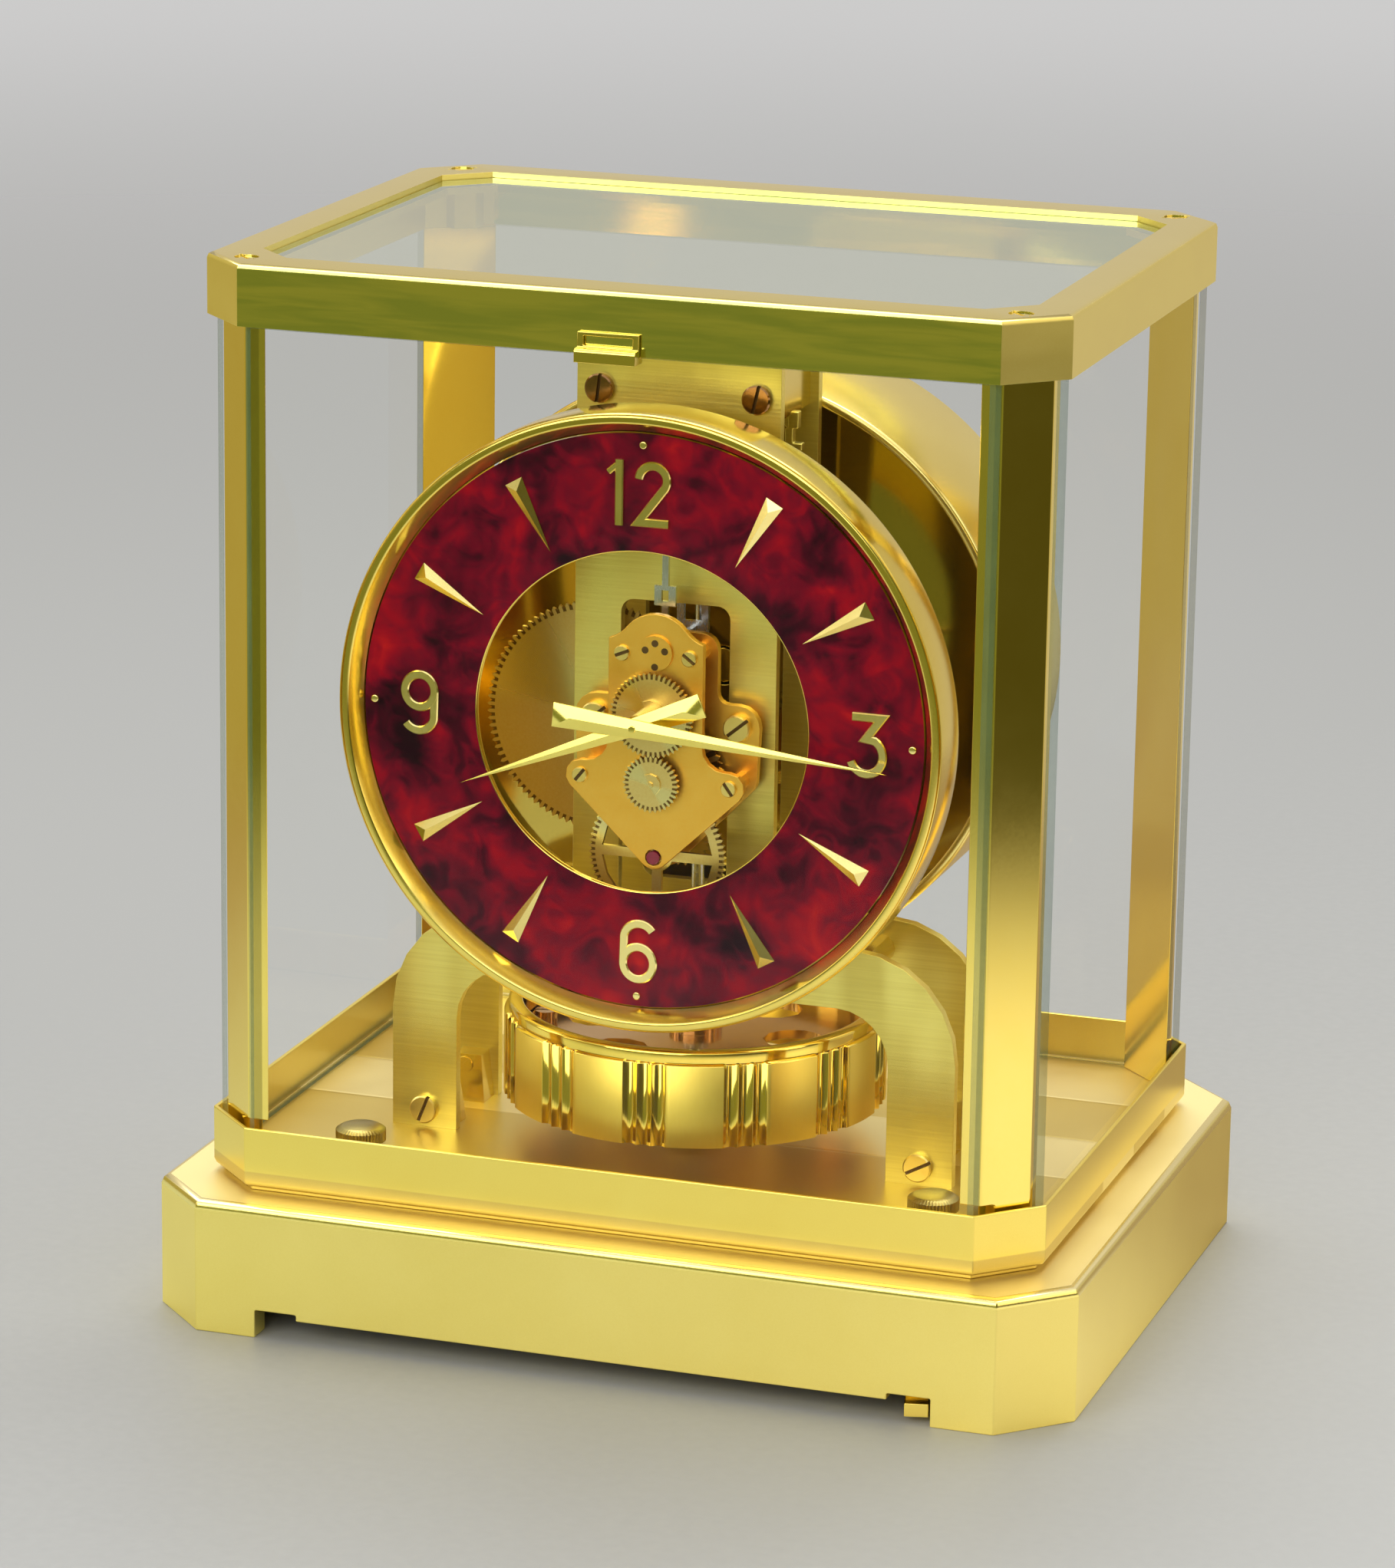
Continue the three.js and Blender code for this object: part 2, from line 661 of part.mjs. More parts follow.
// Top frame: a skirt under a flange, with a ledge for the top pane and bosses over the posts
function topFrame() {
  const outer = octagonBlock(
    PLINTH_WIDTH, PLINTH_DEPTH, TOP_CHAMFER, RAIL_BOTTOM, CASE_HEIGHT, RAIL_EDGE, true, false,
  );
  const flange = CASE_HEIGHT - RAIL_FLANGE;
  const inside = inset(PLINTH_WIDTH, PLINTH_DEPTH, TOP_CHAMFER, RAIL_WALL);
  const under = plateZ(inside, RAIL_BOTTOM - PAST, flange);
  const bosses = eachCorner((sideX, sideY) => cornerPost(sideX, sideY, RAIL_BOTTOM, flange));
  const rounds = eachCorner((sideX, sideY) => {
    const x = sideX * CORNER_SCREW_X;
    const y = sideY * CORNER_SCREW_Y;
    return rodZ(CORNER_BOSS_RADIUS, RAIL_BOTTOM, flange, x, y, BORE_SIDES).intersect(outer);
  });
  const frame = join(cut(outer, under), ...bosses, ...rounds);
  const opened = cut(frame, topOpening(0, flange + TOP_LEDGE_HEIGHT), topOpening(TOP_LEDGE, 0));
  return eachCorner(cornerScrew).reduce((whole, screw) => screw(whole), opened);
}

// The opening in the top frame, drawn in by a ledge, from a height upwards
function topOpening(ledge, bottom) {
  const width = PLINTH_WIDTH - TOP_BORDER_SIDE * 2 - ledge * 2;
  const depth = PLINTH_DEPTH - TOP_BORDER_FRONT * 2 - ledge * 2;
  return plateZ(octagon(width, depth, TOP_OPENING_CHAMFER), bottom, CASE_HEIGHT + PAST);
}

function topPane() {
  const width = PLINTH_WIDTH - TOP_BORDER_SIDE * 2 - GAP * 2;
  const depth = PLINTH_DEPTH - TOP_BORDER_FRONT * 2 - GAP * 2;
  const ledge = CASE_HEIGHT - RAIL_FLANGE + TOP_LEDGE_HEIGHT;
  return plateZ(octagon(width, depth, TOP_OPENING_CHAMFER), ledge, CASE_HEIGHT - TOP_RECESS);
}

// A slotted screw head let into a corner of the top frame
function cornerScrew(sideX, sideY) {
  const x = sideX * CORNER_SCREW_X;
  const y = sideY * CORNER_SCREW_Y;
  const seat = CASE_HEIGHT - CORNER_SCREW_DEPTH;
  const sink = rodZ(CORNER_SCREW_RADIUS + GAP, seat, CASE_HEIGHT + PAST, x, y);
  const head = rodZ(CORNER_SCREW_RADIUS, seat - GAP, CASE_HEIGHT - GAP, x, y, SCREW_SIDES);
  const slot = new THREE.BoxGeometry(CORNER_SCREW_RADIUS * SLOT_REACH, SLOT_WIDTH, CORNER_SCREW_DEPTH);
  slot.rotateZ((sideX - sideY / 2) * UP).translate(x, y, CASE_HEIGHT);
  return (frame) => cut(cut(frame, sink).add(head), solid(slot));
}

// The catch is a strip on the front pane: a rounded nose, and over it a bar that laps the front rail,
// with a slot between the two
function paneCatch() {
  const rail = -PLINTH_DEPTH / 2;
  const plate = rail - GAP;
  const nose = rail - CATCH_NOSE_REACH;
  const shape = new THREE.Shape();
  shape.moveTo(-FRONT_FACE, CATCH_NOSE_BOTTOM);
  shape.lineTo(nose, CATCH_NOSE_BOTTOM);
  shape.absarc(nose + CATCH_SHEET, CATCH_NOSE_TOP - CATCH_SHEET, CATCH_SHEET, Math.PI, UP, true);
  shape.lineTo(plate - CATCH_REACH + CATCH_SHEET, CATCH_NOSE_TOP);
  shape.lineTo(plate - CATCH_SHEET, CATCH_TOP);
  shape.lineTo(plate, CATCH_TOP);
  shape.lineTo(plate, RAIL_BOTTOM - GAP);
  shape.lineTo(-FRONT_FACE, RAIL_BOTTOM - GAP);
  shape.closePath();
  const geometry = new THREE.ExtrudeGeometry(shape, {
    depth: CATCH_RIGHT - CATCH_LEFT,
    bevelEnabled: false,
    curveSegments: 4,
  });
  // the outline is drawn in Y and Z and runs along X
  geometry.applyMatrix4(new THREE.Matrix4().makeBasis(
    new THREE.Vector3(0, 1, 0), new THREE.Vector3(0, 0, 1), new THREE.Vector3(1, 0, 0),
  ));
  const slot = box(
    CATCH_LEFT + CATCH_BORDER, CATCH_RIGHT - CATCH_BORDER, nose, rail,
    CATCH_NOSE_TOP + CATCH_SHEET / 2, CATCH_TOP - CATCH_SHEET,
  );
  return cut(solid(geometry.translate(CATCH_LEFT, 0, 0)), slot);
}

// The outline that both frame plates share: two legs, an arch, two shoulders and a column
function framePlate(windowHalf, windowTop, front) {
  const shape = new THREE.Shape();
  const shoulder = LEG_OUTER - SHOULDER_RADIUS;
  const spring = SHOULDER_TOP - SHOULDER_RADIUS;
  const archSpring = ARCH_TOP - ARCH_RADIUS;
  const archCentre = LEG_INNER - ARCH_RADIUS;
  const neck = COLUMN_HALF + COLUMN_FILLET;
  const shaft = SHOULDER_TOP + COLUMN_FILLET;
  const head = COLUMN_TOP - COLUMN_CORNER;
  const edge = COLUMN_HALF - COLUMN_CORNER;
  shape.moveTo(LEG_INNER, FLOOR);
  shape.lineTo(LEG_OUTER, FLOOR);
  shape.lineTo(LEG_OUTER, spring);
  shape.absarc(shoulder, spring, SHOULDER_RADIUS, 0, UP, false);
  shape.lineTo(neck, SHOULDER_TOP);
  shape.absarc(neck, shaft, COLUMN_FILLET, -UP, -Math.PI, true);
  shape.lineTo(COLUMN_HALF, head);
  shape.absarc(edge, head, COLUMN_CORNER, 0, UP, false);
  shape.lineTo(-edge, COLUMN_TOP);
  shape.absarc(-edge, head, COLUMN_CORNER, UP, Math.PI, false);
  shape.lineTo(-COLUMN_HALF, shaft);
  shape.absarc(-neck, shaft, COLUMN_FILLET, 0, -UP, true);
  shape.lineTo(-shoulder, SHOULDER_TOP);
  shape.absarc(-shoulder, spring, SHOULDER_RADIUS, UP, Math.PI, false);
  shape.lineTo(-LEG_OUTER, FLOOR);
  shape.lineTo(-LEG_INNER, FLOOR);
  shape.lineTo(-LEG_INNER, archSpring);
  shape.absarc(-archCentre, archSpring, ARCH_RADIUS, Math.PI, UP, true);
  shape.lineTo(archCentre, ARCH_TOP);
  shape.absarc(archCentre, archSpring, ARCH_RADIUS, UP, 0, true);
  shape.closePath();
  const hole = new THREE.Path();
  roundedRectangle(hole, -windowHalf, windowHalf, WINDOW_BOTTOM, windowTop, WINDOW_CORNER);
  shape.holes.push(hole);
  return plateY(shape, front, front + PLATE, 3);
}

function sideName(side) {
  return side < 0 ? "left" : "right";
}

function level(z) {
  return z < CENTRE_Z ? "lower" : "upper";
}

function corner(sideX, sideY) {
  return `${sideY < 0 ? "front" : "back"}_${sideName(sideX)}`;
}

function mirrored(make) {
  return [-1, 1].map((side) => make(side));
}

function frontFramePlate() {
  const feet = screwHoles(FRAME_SCREW_RADIUS, FOOT_SCREW_X, FOOT_SCREW_Z);
  const heads = screwHoles(FRAME_SCREW_RADIUS, TOP_SCREW_X, TOP_SCREW_Z);
  const wings = screwHoles(WING_SCREW_RADIUS, WING_SCREW_X, WING_SCREW_Z);
  return cut(framePlate(WINDOW_HALF, WINDOW_TOP, FRONT_PLATE_FACE), ...feet, ...heads, ...wings);
}

// A pair of holes through the front frame plate, for screws with heads of this radius
function screwHoles(headRadius, x, z) {
  const radius = headRadius / 2 + GAP;
  return mirrored((side) => {
    return boreY(radius, FRONT_PLATE_FACE, FRONT_PLATE_FACE + PLATE, side * x, z, BORE_SIDES);
  });
}

// A block that ties a leg to the floor, tapered towards its free side
function footBlock(side, back, direction) {
  const inner = side * BLOCK_INNER;
  const outer = side * (BLOCK_INNER + BLOCK_WIDTH);
  const points = [FLOOR, FLOOR + BLOCK_HEIGHT].flatMap((z) => {
    const draw = z === FLOOR ? 0 : BLOCK_TAPER;
    const near = back;
    const far = back + direction * (BLOCK_DEPTH - draw);
    return [
      [inner + side * draw, near, z],
      [outer - side * draw, near, z],
      [inner + side * draw, far, z],
      [outer - side * draw, far, z],
    ];
  });
  return hull(points);
}

function hull(points) {
  const geometry = new ConvexGeometry(points.map(([x, y, z]) => new THREE.Vector3(x, y, z)));
  return solid(geometry);
}

function frontFootBlock(side) {
  const front = FRONT_PLATE_FACE + PLATE;
  const radius = FRAME_SCREW_RADIUS / 2 + GAP;
  const bore = boreY(radius, front, front + BLOCK_DEPTH, side * FOOT_SCREW_X, FOOT_SCREW_Z);
  return cut(footBlock(side, front, 1), bore);
}

function rearFootBlock(side) {
  const face = REAR_PLATE_FACE - BLOCK_DEPTH + BLOCK_TAPER;
  const reach = BLOCK_DEPTH - BLOCK_TAPER - PAST;
  const x = side * REAR_SCREW_X;
  const z = FLOOR + REAR_SCREW_RISE;
  const head = screwY(SMALL_SCREW_RADIUS, PLATE_SCREW_HEAD, reach, face, x, z, side * UP / 2);
  return footBlock(side, REAR_PLATE_FACE, -1).add(head);
}

// The suspension block ties the two plates at the top; the wire hangs through its guard tube
function suspensionBlock() {
  const front = FRONT_PLATE_FACE + PLATE;
  const tube = rodZ(TUBE_RADIUS, TUBE_BOTTOM, BLOCK_BOTTOM + PAST, 0, PENDULUM_Y);
  const block = box(-BLOCK_HALF, BLOCK_HALF, front, REAR_PLATE_FACE, BLOCK_BOTTOM, BLOCK_TOP).add(tube);
  const way = rodZ(TUBE_BORE, TUBE_BOTTOM - PAST, BLOCK_TOP - CLAMP_HEIGHT, 0, PENDULUM_Y, SCREW_SIDES);
  const clamp = rodZ(WIRE_RADIUS + GAP, BLOCK_BOTTOM, BLOCK_TOP + PAST, 0, PENDULUM_Y, BORE_SIDES);
  const radius = FRAME_SCREW_RADIUS / 2 + GAP;
  const taps = mirrored((side) => {
    return boreY(radius, front, front + PILLAR_RADIUS * 2, side * TOP_SCREW_X, TOP_SCREW_Z);
  });
  return cut(block, way, clamp, ...taps);
}

function framePillar(side) {
  return rodY(PILLAR_RADIUS, FRONT_PLATE_FACE + PLATE, REAR_PLATE_FACE, side * PILLAR_X, PILLAR_Z);
}

// The weighted ring of the pendulum, with groups of hollow flutes round it and a plain rim on top
function pendulumRing() {
  return flutedWall().add(pendulumRim());
}

function flutedWall() {
  const shape = new THREE.Shape();
  const sector = TAU / FLUTE_GROUPS;
  const flute = FLUTE_WIDTH / PENDULUM_RADIUS;
  for (let g = 0; g < FLUTE_GROUPS; g++) {
    const middle = -UP + FLUTE_TURN + g * sector;
    const start = middle - (flute * FLUTES_IN_GROUP) / 2;
    for (let f = 0; f < FLUTES_IN_GROUP; f++) {
      for (let s = 0; s <= FLUTE_STEPS; s++) {
        const share = s / (FLUTE_STEPS + 1);
        const radius = PENDULUM_RADIUS - FLUTE_DEPTH * Math.sin(Math.PI * share);
        ringPoint(shape, radius, start + (f + share) * flute);
      }
    }
    ringPoint(shape, PENDULUM_RADIUS, start + FLUTES_IN_GROUP * flute);
    ringPoint(shape, PENDULUM_RADIUS, middle + sector / 2);
  }
  shape.closePath();
  const inner = new THREE.Path().absarc(0, 0, PENDULUM_RADIUS - PENDULUM_WALL, 0, TAU, false);
  shape.holes.push(inner);
  return plateZ(shape, PENDULUM_BOTTOM, PENDULUM_TOP, RING_SIDES / 2).translate([0, PENDULUM_Y, 0]);
}

function ringPoint(shape, radius, angle) {
  const x = radius * Math.cos(angle);
  const y = radius * Math.sin(angle);
  if (shape.currentPoint.lengthSq() === 0) shape.moveTo(x, y);
  else shape.lineTo(x, y);
}

function pendulumRim() {
  const outer = PENDULUM_RADIUS - RIM_INSET;
  const inner = outer - RIM_WIDTH;
  const top = PENDULUM_TOP + RIM_HEIGHT;
  const profile = [
    [inner, PENDULUM_TOP],
    [outer, PENDULUM_TOP],
    [outer, top - RIM_EDGE],
    [outer - RIM_EDGE, top],
    [inner, top],
  ];
  return turnedZ(profile, RING_SIDES);
}

// The web of the pendulum: a pierced disc under the rim, with its hub and three slotted nuts
function pendulumWeb() {
  const radius = PENDULUM_RADIUS - PENDULUM_WALL - GAP;
  const bottom = WEB_TOP - WEB_THICKNESS;
  const disc = rodZ(radius, bottom, WEB_TOP, 0, PENDULUM_Y, RING_SIDES);
  const holes = Array.from({ length: WEB_HOLES }, (_, i) => {
    const turn = (i * TAU) / WEB_HOLES;
    const x = WEB_HOLE_CENTRE * Math.cos(turn);
    const y = PENDULUM_Y + WEB_HOLE_CENTRE * Math.sin(turn);
    return rodZ(WEB_HOLE_RADIUS, bottom - PAST, WEB_TOP + PAST, x, y, SCREW_SIDES);
  });
  const hubBottom = bottom - WEB_THICKNESS;
  const hubTop = WEB_TOP + WEB_THICKNESS;
  const hub = rodZ(HUB_RADIUS, hubBottom, hubTop, 0, PENDULUM_Y);
  const bore = rodZ(STAFF_RADIUS + GAP, hubBottom - PAST, hubTop + PAST, 0, PENDULUM_Y, HOLE_SIDES);
  return join(cut(disc, ...holes), hub, ...pendulumNuts()).subtract(bore);
}

function pendulumNuts() {
  return Array.from({ length: NUTS }, (_, i) => {
    const turn = -UP / 2 + (i * TAU) / NUTS;
    const x = NUT_CENTRE * Math.cos(turn);
    const y = PENDULUM_Y + NUT_CENTRE * Math.sin(turn);
    const top = WEB_TOP + NUT_HEIGHT;
    const slot = new THREE.BoxGeometry(NUT_RADIUS * SLOT_REACH, SLOT_WIDTH, NUT_HEIGHT * SLOT_SHARE);
    slot.rotateZ(turn).translate(x, y, top);
    return cut(rodZ(NUT_RADIUS, WEB_TOP - WEB_THICKNESS, top, x, y, SCREW_SIDES), solid(slot));
  });
}

// The staff rises from the web to the wire and carries the impulse roller
function pendulumStaff() {
  const bottom = PLUNGER_TOP + PLUNGER_RISE + GAP;
  const staff = rodZ(STAFF_RADIUS, bottom, STAFF_TOP, 0, PENDULUM_Y, SCREW_SIDES);
  const roller = rodZ(ROLLER_RADIUS, ROLLER_Z, ROLLER_Z + ROLLER_HEIGHT, 0, PENDULUM_Y, SCREW_SIDES);
  const seat = WEB_TOP + WEB_THICKNESS;
  const collar = rodZ(HUB_RADIUS / 2, seat, seat + WEB_THICKNESS, 0, PENDULUM_Y, SCREW_SIDES);
  return join(staff, roller, collar);
}

function suspensionWire() {
  return rodZ(WIRE_RADIUS, STAFF_TOP, BLOCK_TOP + PAST, 0, PENDULUM_Y, HOLE_SIDES);
}

// Bellows drum: a cup with a rounded rim that opens forward
function bellowsDrum() {
  const front = REAR_PLATE_FACE + PLATE;
  const inner = DRUM_RADIUS - DRUM_SHEET;
  const lip = DRUM_RADIUS - DRUM_RIM;
  const profile = [
    [0, DRUM_BACK],
    [DRUM_RADIUS - DRUM_EDGE, DRUM_BACK],
    [DRUM_RADIUS, DRUM_BACK - DRUM_EDGE],
    [DRUM_RADIUS, front + DRUM_EDGE],
    [DRUM_RADIUS - DRUM_EDGE / 2, front],
    [lip, front],
    [inner, front + DRUM_EDGE * 2],
    [inner, DRUM_BACK - DRUM_SHEET],
    [0, DRUM_BACK - DRUM_SHEET],
  ];
  return turnedY(profile, RING_SIDES);
}

// The polished face is set back inside the rim and has a raised middle with a hole for the cap's stem
function drumFace() {
  const front = REAR_PLATE_FACE + PLATE + DRUM_RECESS;
  const back = front + DRUM_SHEET;
  const radius = DRUM_RADIUS - DRUM_SHEET - GAP;
  const boss = front - DRUM_BOSS_RISE;
  const bore = CAP_STEM_RADIUS + RUNNING;
  const profile = [
    [bore, boss],
    [DRUM_BOSS_RADIUS, boss],
    [DRUM_BOSS_RADIUS + DRUM_BOSS_RISE, front],
    [radius, front],
    [radius, back],
    [bore, back],
  ];
  return turnedY(profile, RING_SIDES);
}

function bellowsBack() {
  return DRUM_BACK - DRUM_SHEET;
}

// The corrugated capsule stands on the back of the drum
function bellows() {
  const back = bellowsBack();
  const fold = BELLOWS_DEPTH / BELLOWS_FOLDS;
  const profile = [[0, back]];
  for (let i = 0; i < BELLOWS_FOLDS; i++) {
    profile.push([BELLOWS_CORE, back - i * fold]);
    profile.push([BELLOWS_RADIUS, back - (i + SLOT_SHARE) * fold]);
  }
  profile.push([BELLOWS_CORE, back - BELLOWS_DEPTH]);
  profile.push([0, back - BELLOWS_DEPTH]);
  return turnedY(profile, SMALL_RING_SIDES);
}

// The cap rides on the capsule and pushes forward as the capsule swells
function bellowsCap() {
  const back = bellowsBack() - BELLOWS_DEPTH - GAP;
  const disc = rodY(CAP_RADIUS, back - CAP_THICKNESS, back, 0, CENTRE_Z, SMALL_RING_SIDES);
  const stemFront = REAR_PLATE_FACE + PLATE + DRUM_RECESS - DRUM_BOSS_RISE + GAP;
  return disc.add(rodY(CAP_STEM_RADIUS, stemFront, back, 0, CENTRE_Z));
}

// Bezel: a deep ring with a satin outside and a polished front that slopes in to the dial
function bezel() {
  const inside = BEZEL_RADIUS - BEZEL_SHELL;
  const profile = [
    [BEZEL_RADIUS, BEZEL_BACK],
    [BEZEL_RADIUS, BEZEL_FRONT + BEZEL_EDGE],
    [BEZEL_RIDGE, BEZEL_FRONT],
    [BEZEL_CREST, BEZEL_FRONT],
    [DIAL_RADIUS, DIAL_FACE],
    [DIAL_RADIUS, DIAL_FACE + DIAL_THICKNESS + BEZEL_SHELL],
    [inside, DIAL_FACE + DIAL_THICKNESS + BEZEL_SHELL * 2],
    [inside, BEZEL_BACK],
  ];
  return turnedY(profile, RING_SIDES);
}

// The dial with its raised numerals, wedges and dots, and the feet that carry it
function dialRing() {
  return join(dialPlate(), numerals(), hourMarkers(), minuteDots(), dialFeet());
}

function dialPlate() {
  const radius = DIAL_RADIUS - GAP;
  const back = DIAL_FACE + DIAL_THICKNESS;
  const profile = [
    [DIAL_OPENING, DIAL_FACE],
    [radius, DIAL_FACE],
    [radius, back],
    [DIAL_OPENING, back],
  ];
  return turnedY(profile, RING_SIDES);
}

function dialFeet() {
  const back = DIAL_FACE + DIAL_THICKNESS - GAP;
  const foot = (x, z) => rodY(DIAL_FOOT_RADIUS, back, FRONT_PLATE_FACE, x, z, SCREW_SIDES);
  const upper = mirrored((side) => foot(side * DIAL_FOOT_UPPER_X, DIAL_FOOT_UPPER_Z));
  const lower = mirrored((side) => foot(side * DIAL_FOOT_LOWER_X, DIAL_FOOT_LOWER_Z));
  return join(...upper, ...lower);
}

// A stroke of even width along a row of points, in X and Z
function stroke(points, width) {
  const left = [];
  const right = [];
  points.forEach((point, i) => {
    const before = points[Math.max(i - 1, 0)];
    const after = points[Math.min(i + 1, points.length - 1)];
    const entering = direction(before, point) ?? direction(point, after);
    const leaving = direction(point, after) ?? entering;
    const bisector = entering.clone().add(leaving).normalize();
    const half = width / 2 / Math.max(bisector.dot(entering), SLOT_SHARE);
    left.push([point[0] - bisector.y * half, point[1] + bisector.x * half]);
    right.unshift([point[0] + bisector.y * half, point[1] - bisector.x * half]);
  });
  const shape = new THREE.Shape([...right, ...left].map(([x, z]) => new THREE.Vector2(x, z)));
  return plateY(shape, DIAL_FACE - NUMERAL_RELIEF, DIAL_FACE);
}

function direction(from, to) {
  const step = new THREE.Vector2(to[0] - from[0], to[1] - from[1]);
  return step.length() > 0 ? step.normalize() : null;
}

// Points along an arc, angles counted from +X towards +Z
function arc(x, z, radiusX, radiusZ, from, to, steps) {
  return Array.from({ length: steps + 1 }, (_, i) => {
    const angle = from + ((to - from) * i) / steps;
    return [x + radiusX * Math.cos(angle), z + radiusZ * Math.sin(angle)];
  });
}

function numeralOne(x, z) {
  const top = z + NUMERAL_HEIGHT / 2 - NUMERAL_STROKE / 2;
  const start = [x - NUMERAL_STROKE * ONE_FLAG_REACH, top - NUMERAL_STROKE];
  const flag = stroke([start, [x, top]], NUMERAL_STROKE * ONE_FLAG_STROKE);
  return stroke([[x, z - NUMERAL_HEIGHT / 2], [x, z + NUMERAL_HEIGHT / 2]], NUMERAL_STROKE).add(flag);
}

function numeralTwo(x, z) {
  const radius = (NUMERAL_WIDTH - NUMERAL_STROKE) / 2;
  const crown = z + NUMERAL_HEIGHT / 2 - NUMERAL_STROKE / 2 - radius;
  const foot = z - NUMERAL_HEIGHT / 2 + NUMERAL_STROKE / 2;
  const bow = arc(x, crown, radius, radius, TWO_START, TWO_END, 6);
  return stroke([...bow, [x - radius, foot], [x + radius, foot]], NUMERAL_STROKE);
}

function numeralThree(x, z) {
  const radius = (NUMERAL_WIDTH - NUMERAL_STROKE) / 2;
  const rise = radius * THREE_STRETCH;
  const head = z + NUMERAL_HEIGHT / 2 - NUMERAL_STROKE / 2;
  const bowl = z - NUMERAL_HEIGHT / 2 + NUMERAL_STROKE / 2 + rise;
  const bow = arc(x, bowl, radius, rise, UP, THREE_END, 8);
  return stroke([[x - radius, head], [x + radius, head], ...bow], NUMERAL_STROKE);
}

// A closed round stroke, as in the bowl of a six
function ringStroke(x, z, radius, width) {
  const shape = new THREE.Shape().absarc(x, z, radius + width / 2, 0, TAU, false);
  shape.holes.push(new THREE.Path().absarc(x, z, radius - width / 2, 0, TAU, true));
  return plateY(shape, DIAL_FACE - NUMERAL_RELIEF, DIAL_FACE, RING_SIDES / 6);
}

// A six, or a nine where it is turned half round
function numeralSix(x, z, turned) {
  const way = turned ? -1 : 1;
  const radius = (NUMERAL_WIDTH - NUMERAL_STROKE) / 2;
  const end = NUMERAL_HEIGHT / 2 - NUMERAL_STROKE / 2;
  const bowl = z - way * (end - radius * SIX_BOWL);
  const loop = ringStroke(x, bowl, radius, NUMERAL_STROKE);
  const hook = arc(x, z + way * (end - radius), radius * way, radius * way, SIX_END, Math.PI, 5);
  return loop.add(stroke([...hook, [x - way * radius, bowl]], NUMERAL_STROKE));
}

function numerals() {
  const top = CENTRE_Z + NUMERAL_RADIUS;
  return join(
    numeralOne(-TWELVE_SPREAD / 2 - NUMERAL_STROKE / 2, top),
    numeralTwo(TWELVE_SPREAD / 2 - NUMERAL_STROKE / 2, top),
    numeralThree(NUMERAL_RADIUS, CENTRE_Z),
    numeralSix(0, CENTRE_Z - NUMERAL_RADIUS, false),
    numeralSix(-NUMERAL_RADIUS, CENTRE_Z, true),
  );
}

// A long faceted wedge with a sharp crest, lying along an hour angle
function wedge(angle, from, to, width, face, sheet, crest, end) {
  const along = (distance, across, y) => [
    distance * Math.sin(angle) + across * Math.cos(angle),
    y,
    CENTRE_Z + distance * Math.cos(angle) - across * Math.sin(angle),
  ];
  const way = Math.sign(to - from);
  const points = [face - sheet, face].flatMap((y) => [
    along(from, 0, y),
    along(to, width / 2, y),
    along(to, -width / 2, y),
  ]);
  return hull([...points, along(to - way * end, 0, face - sheet - crest)]);
}

function hourMarkers() {
  const hours = Array.from({ length: 12 }, (_, i) => i).filter((hour) => hour % 3 !== 0);
  return join(...hours.map((hour) => {
    const angle = (hour * TAU) / 12;
    const crest = MARKER_CREST - GAP;
    return wedge(angle, MARKER_INNER, MARKER_OUTER, MARKER_WIDTH, DIAL_FACE, GAP, crest, MARKER_END);
  }));
}

function minuteDots() {
  const dots = [0, 1, 2, 3].map((quarter) => {
    const x = DOT_CENTRE * Math.sin(quarter * UP);
    const z = CENTRE_Z + DOT_CENTRE * Math.cos(quarter * UP);
    return rodY(DOT_RADIUS, DIAL_FACE - NUMERAL_RELIEF, DIAL_FACE, x, z, BORE_SIDES);
  });
  return join(...dots);
}

// A hand runs from its sharp tip to a broad bevelled tail, with a hole at its hub
function blade(angle, tip, tail, face, bore) {
  const whole = wedge(angle, tip, -tail, HAND_WIDTH, face, HAND_SHEET, HAND_CREST, HAND_BEVEL);
  return bore > 0 ? cut(whole, boreY(bore, face - HAND_SHEET - HAND_CREST, face, 0, CENTRE_Z)) : whole;
}

function minuteHand() {
  const whole = blade(MINUTE_ANGLE, MINUTE_TIP, MINUTE_TAIL, MINUTE_FRONT, 0);
  const crest = MINUTE_FRONT - HAND_SHEET - HAND_CREST;
  const pin = rodY(HAND_PIN_RADIUS, crest, MINUTE_FRONT, 0, CENTRE_Z, BORE_SIDES);
  return whole.add(pin);
}

function hourHand() {
  return blade(HOUR_ANGLE, HOUR_TIP, HOUR_TAIL, HOUR_FRONT, CENTRE_ARBOR_RADIUS + RUNNING);
}

// Toothed outline with a tooth centred on an angle, counted from +X towards +Z.
// Fine teeth are pointed ridges; coarse ones have flat tips and flat roots.
function gear(teeth, size, x, z, phase, fine) {
  const pitch = TAU / teeth;
  const root = size * (teeth / 2 - DEDENDUM);
  const tip = size * (teeth / 2 + ADDENDUM);
  const points = [];
  const put = (radius, angle) => {
    points.push(new THREE.Vector2(x + radius * Math.cos(angle), z + radius * Math.sin(angle)));
  };
  for (let i = 0; i < teeth; i++) {
    const middle = phase + i * pitch;
    if (fine) {
      put(tip, middle);
      put(root, middle + pitch / 2);
    } else {
      put(root, middle - ROOT_SHARE * pitch);
      put(tip, middle - TIP_SHARE * pitch);
      put(tip, middle + TIP_SHARE * pitch);
      put(root, middle + ROOT_SHARE * pitch);
    }
  }
  return new THREE.Shape(points);
}

// Tooth size of a wheel and a pinion that mesh across a distance
function toothSize(distance, teeth, leaves) {
  return (2 * distance) / (teeth + leaves);
}

function halfPitch(teeth) {
  return TAU / teeth / 2;
}

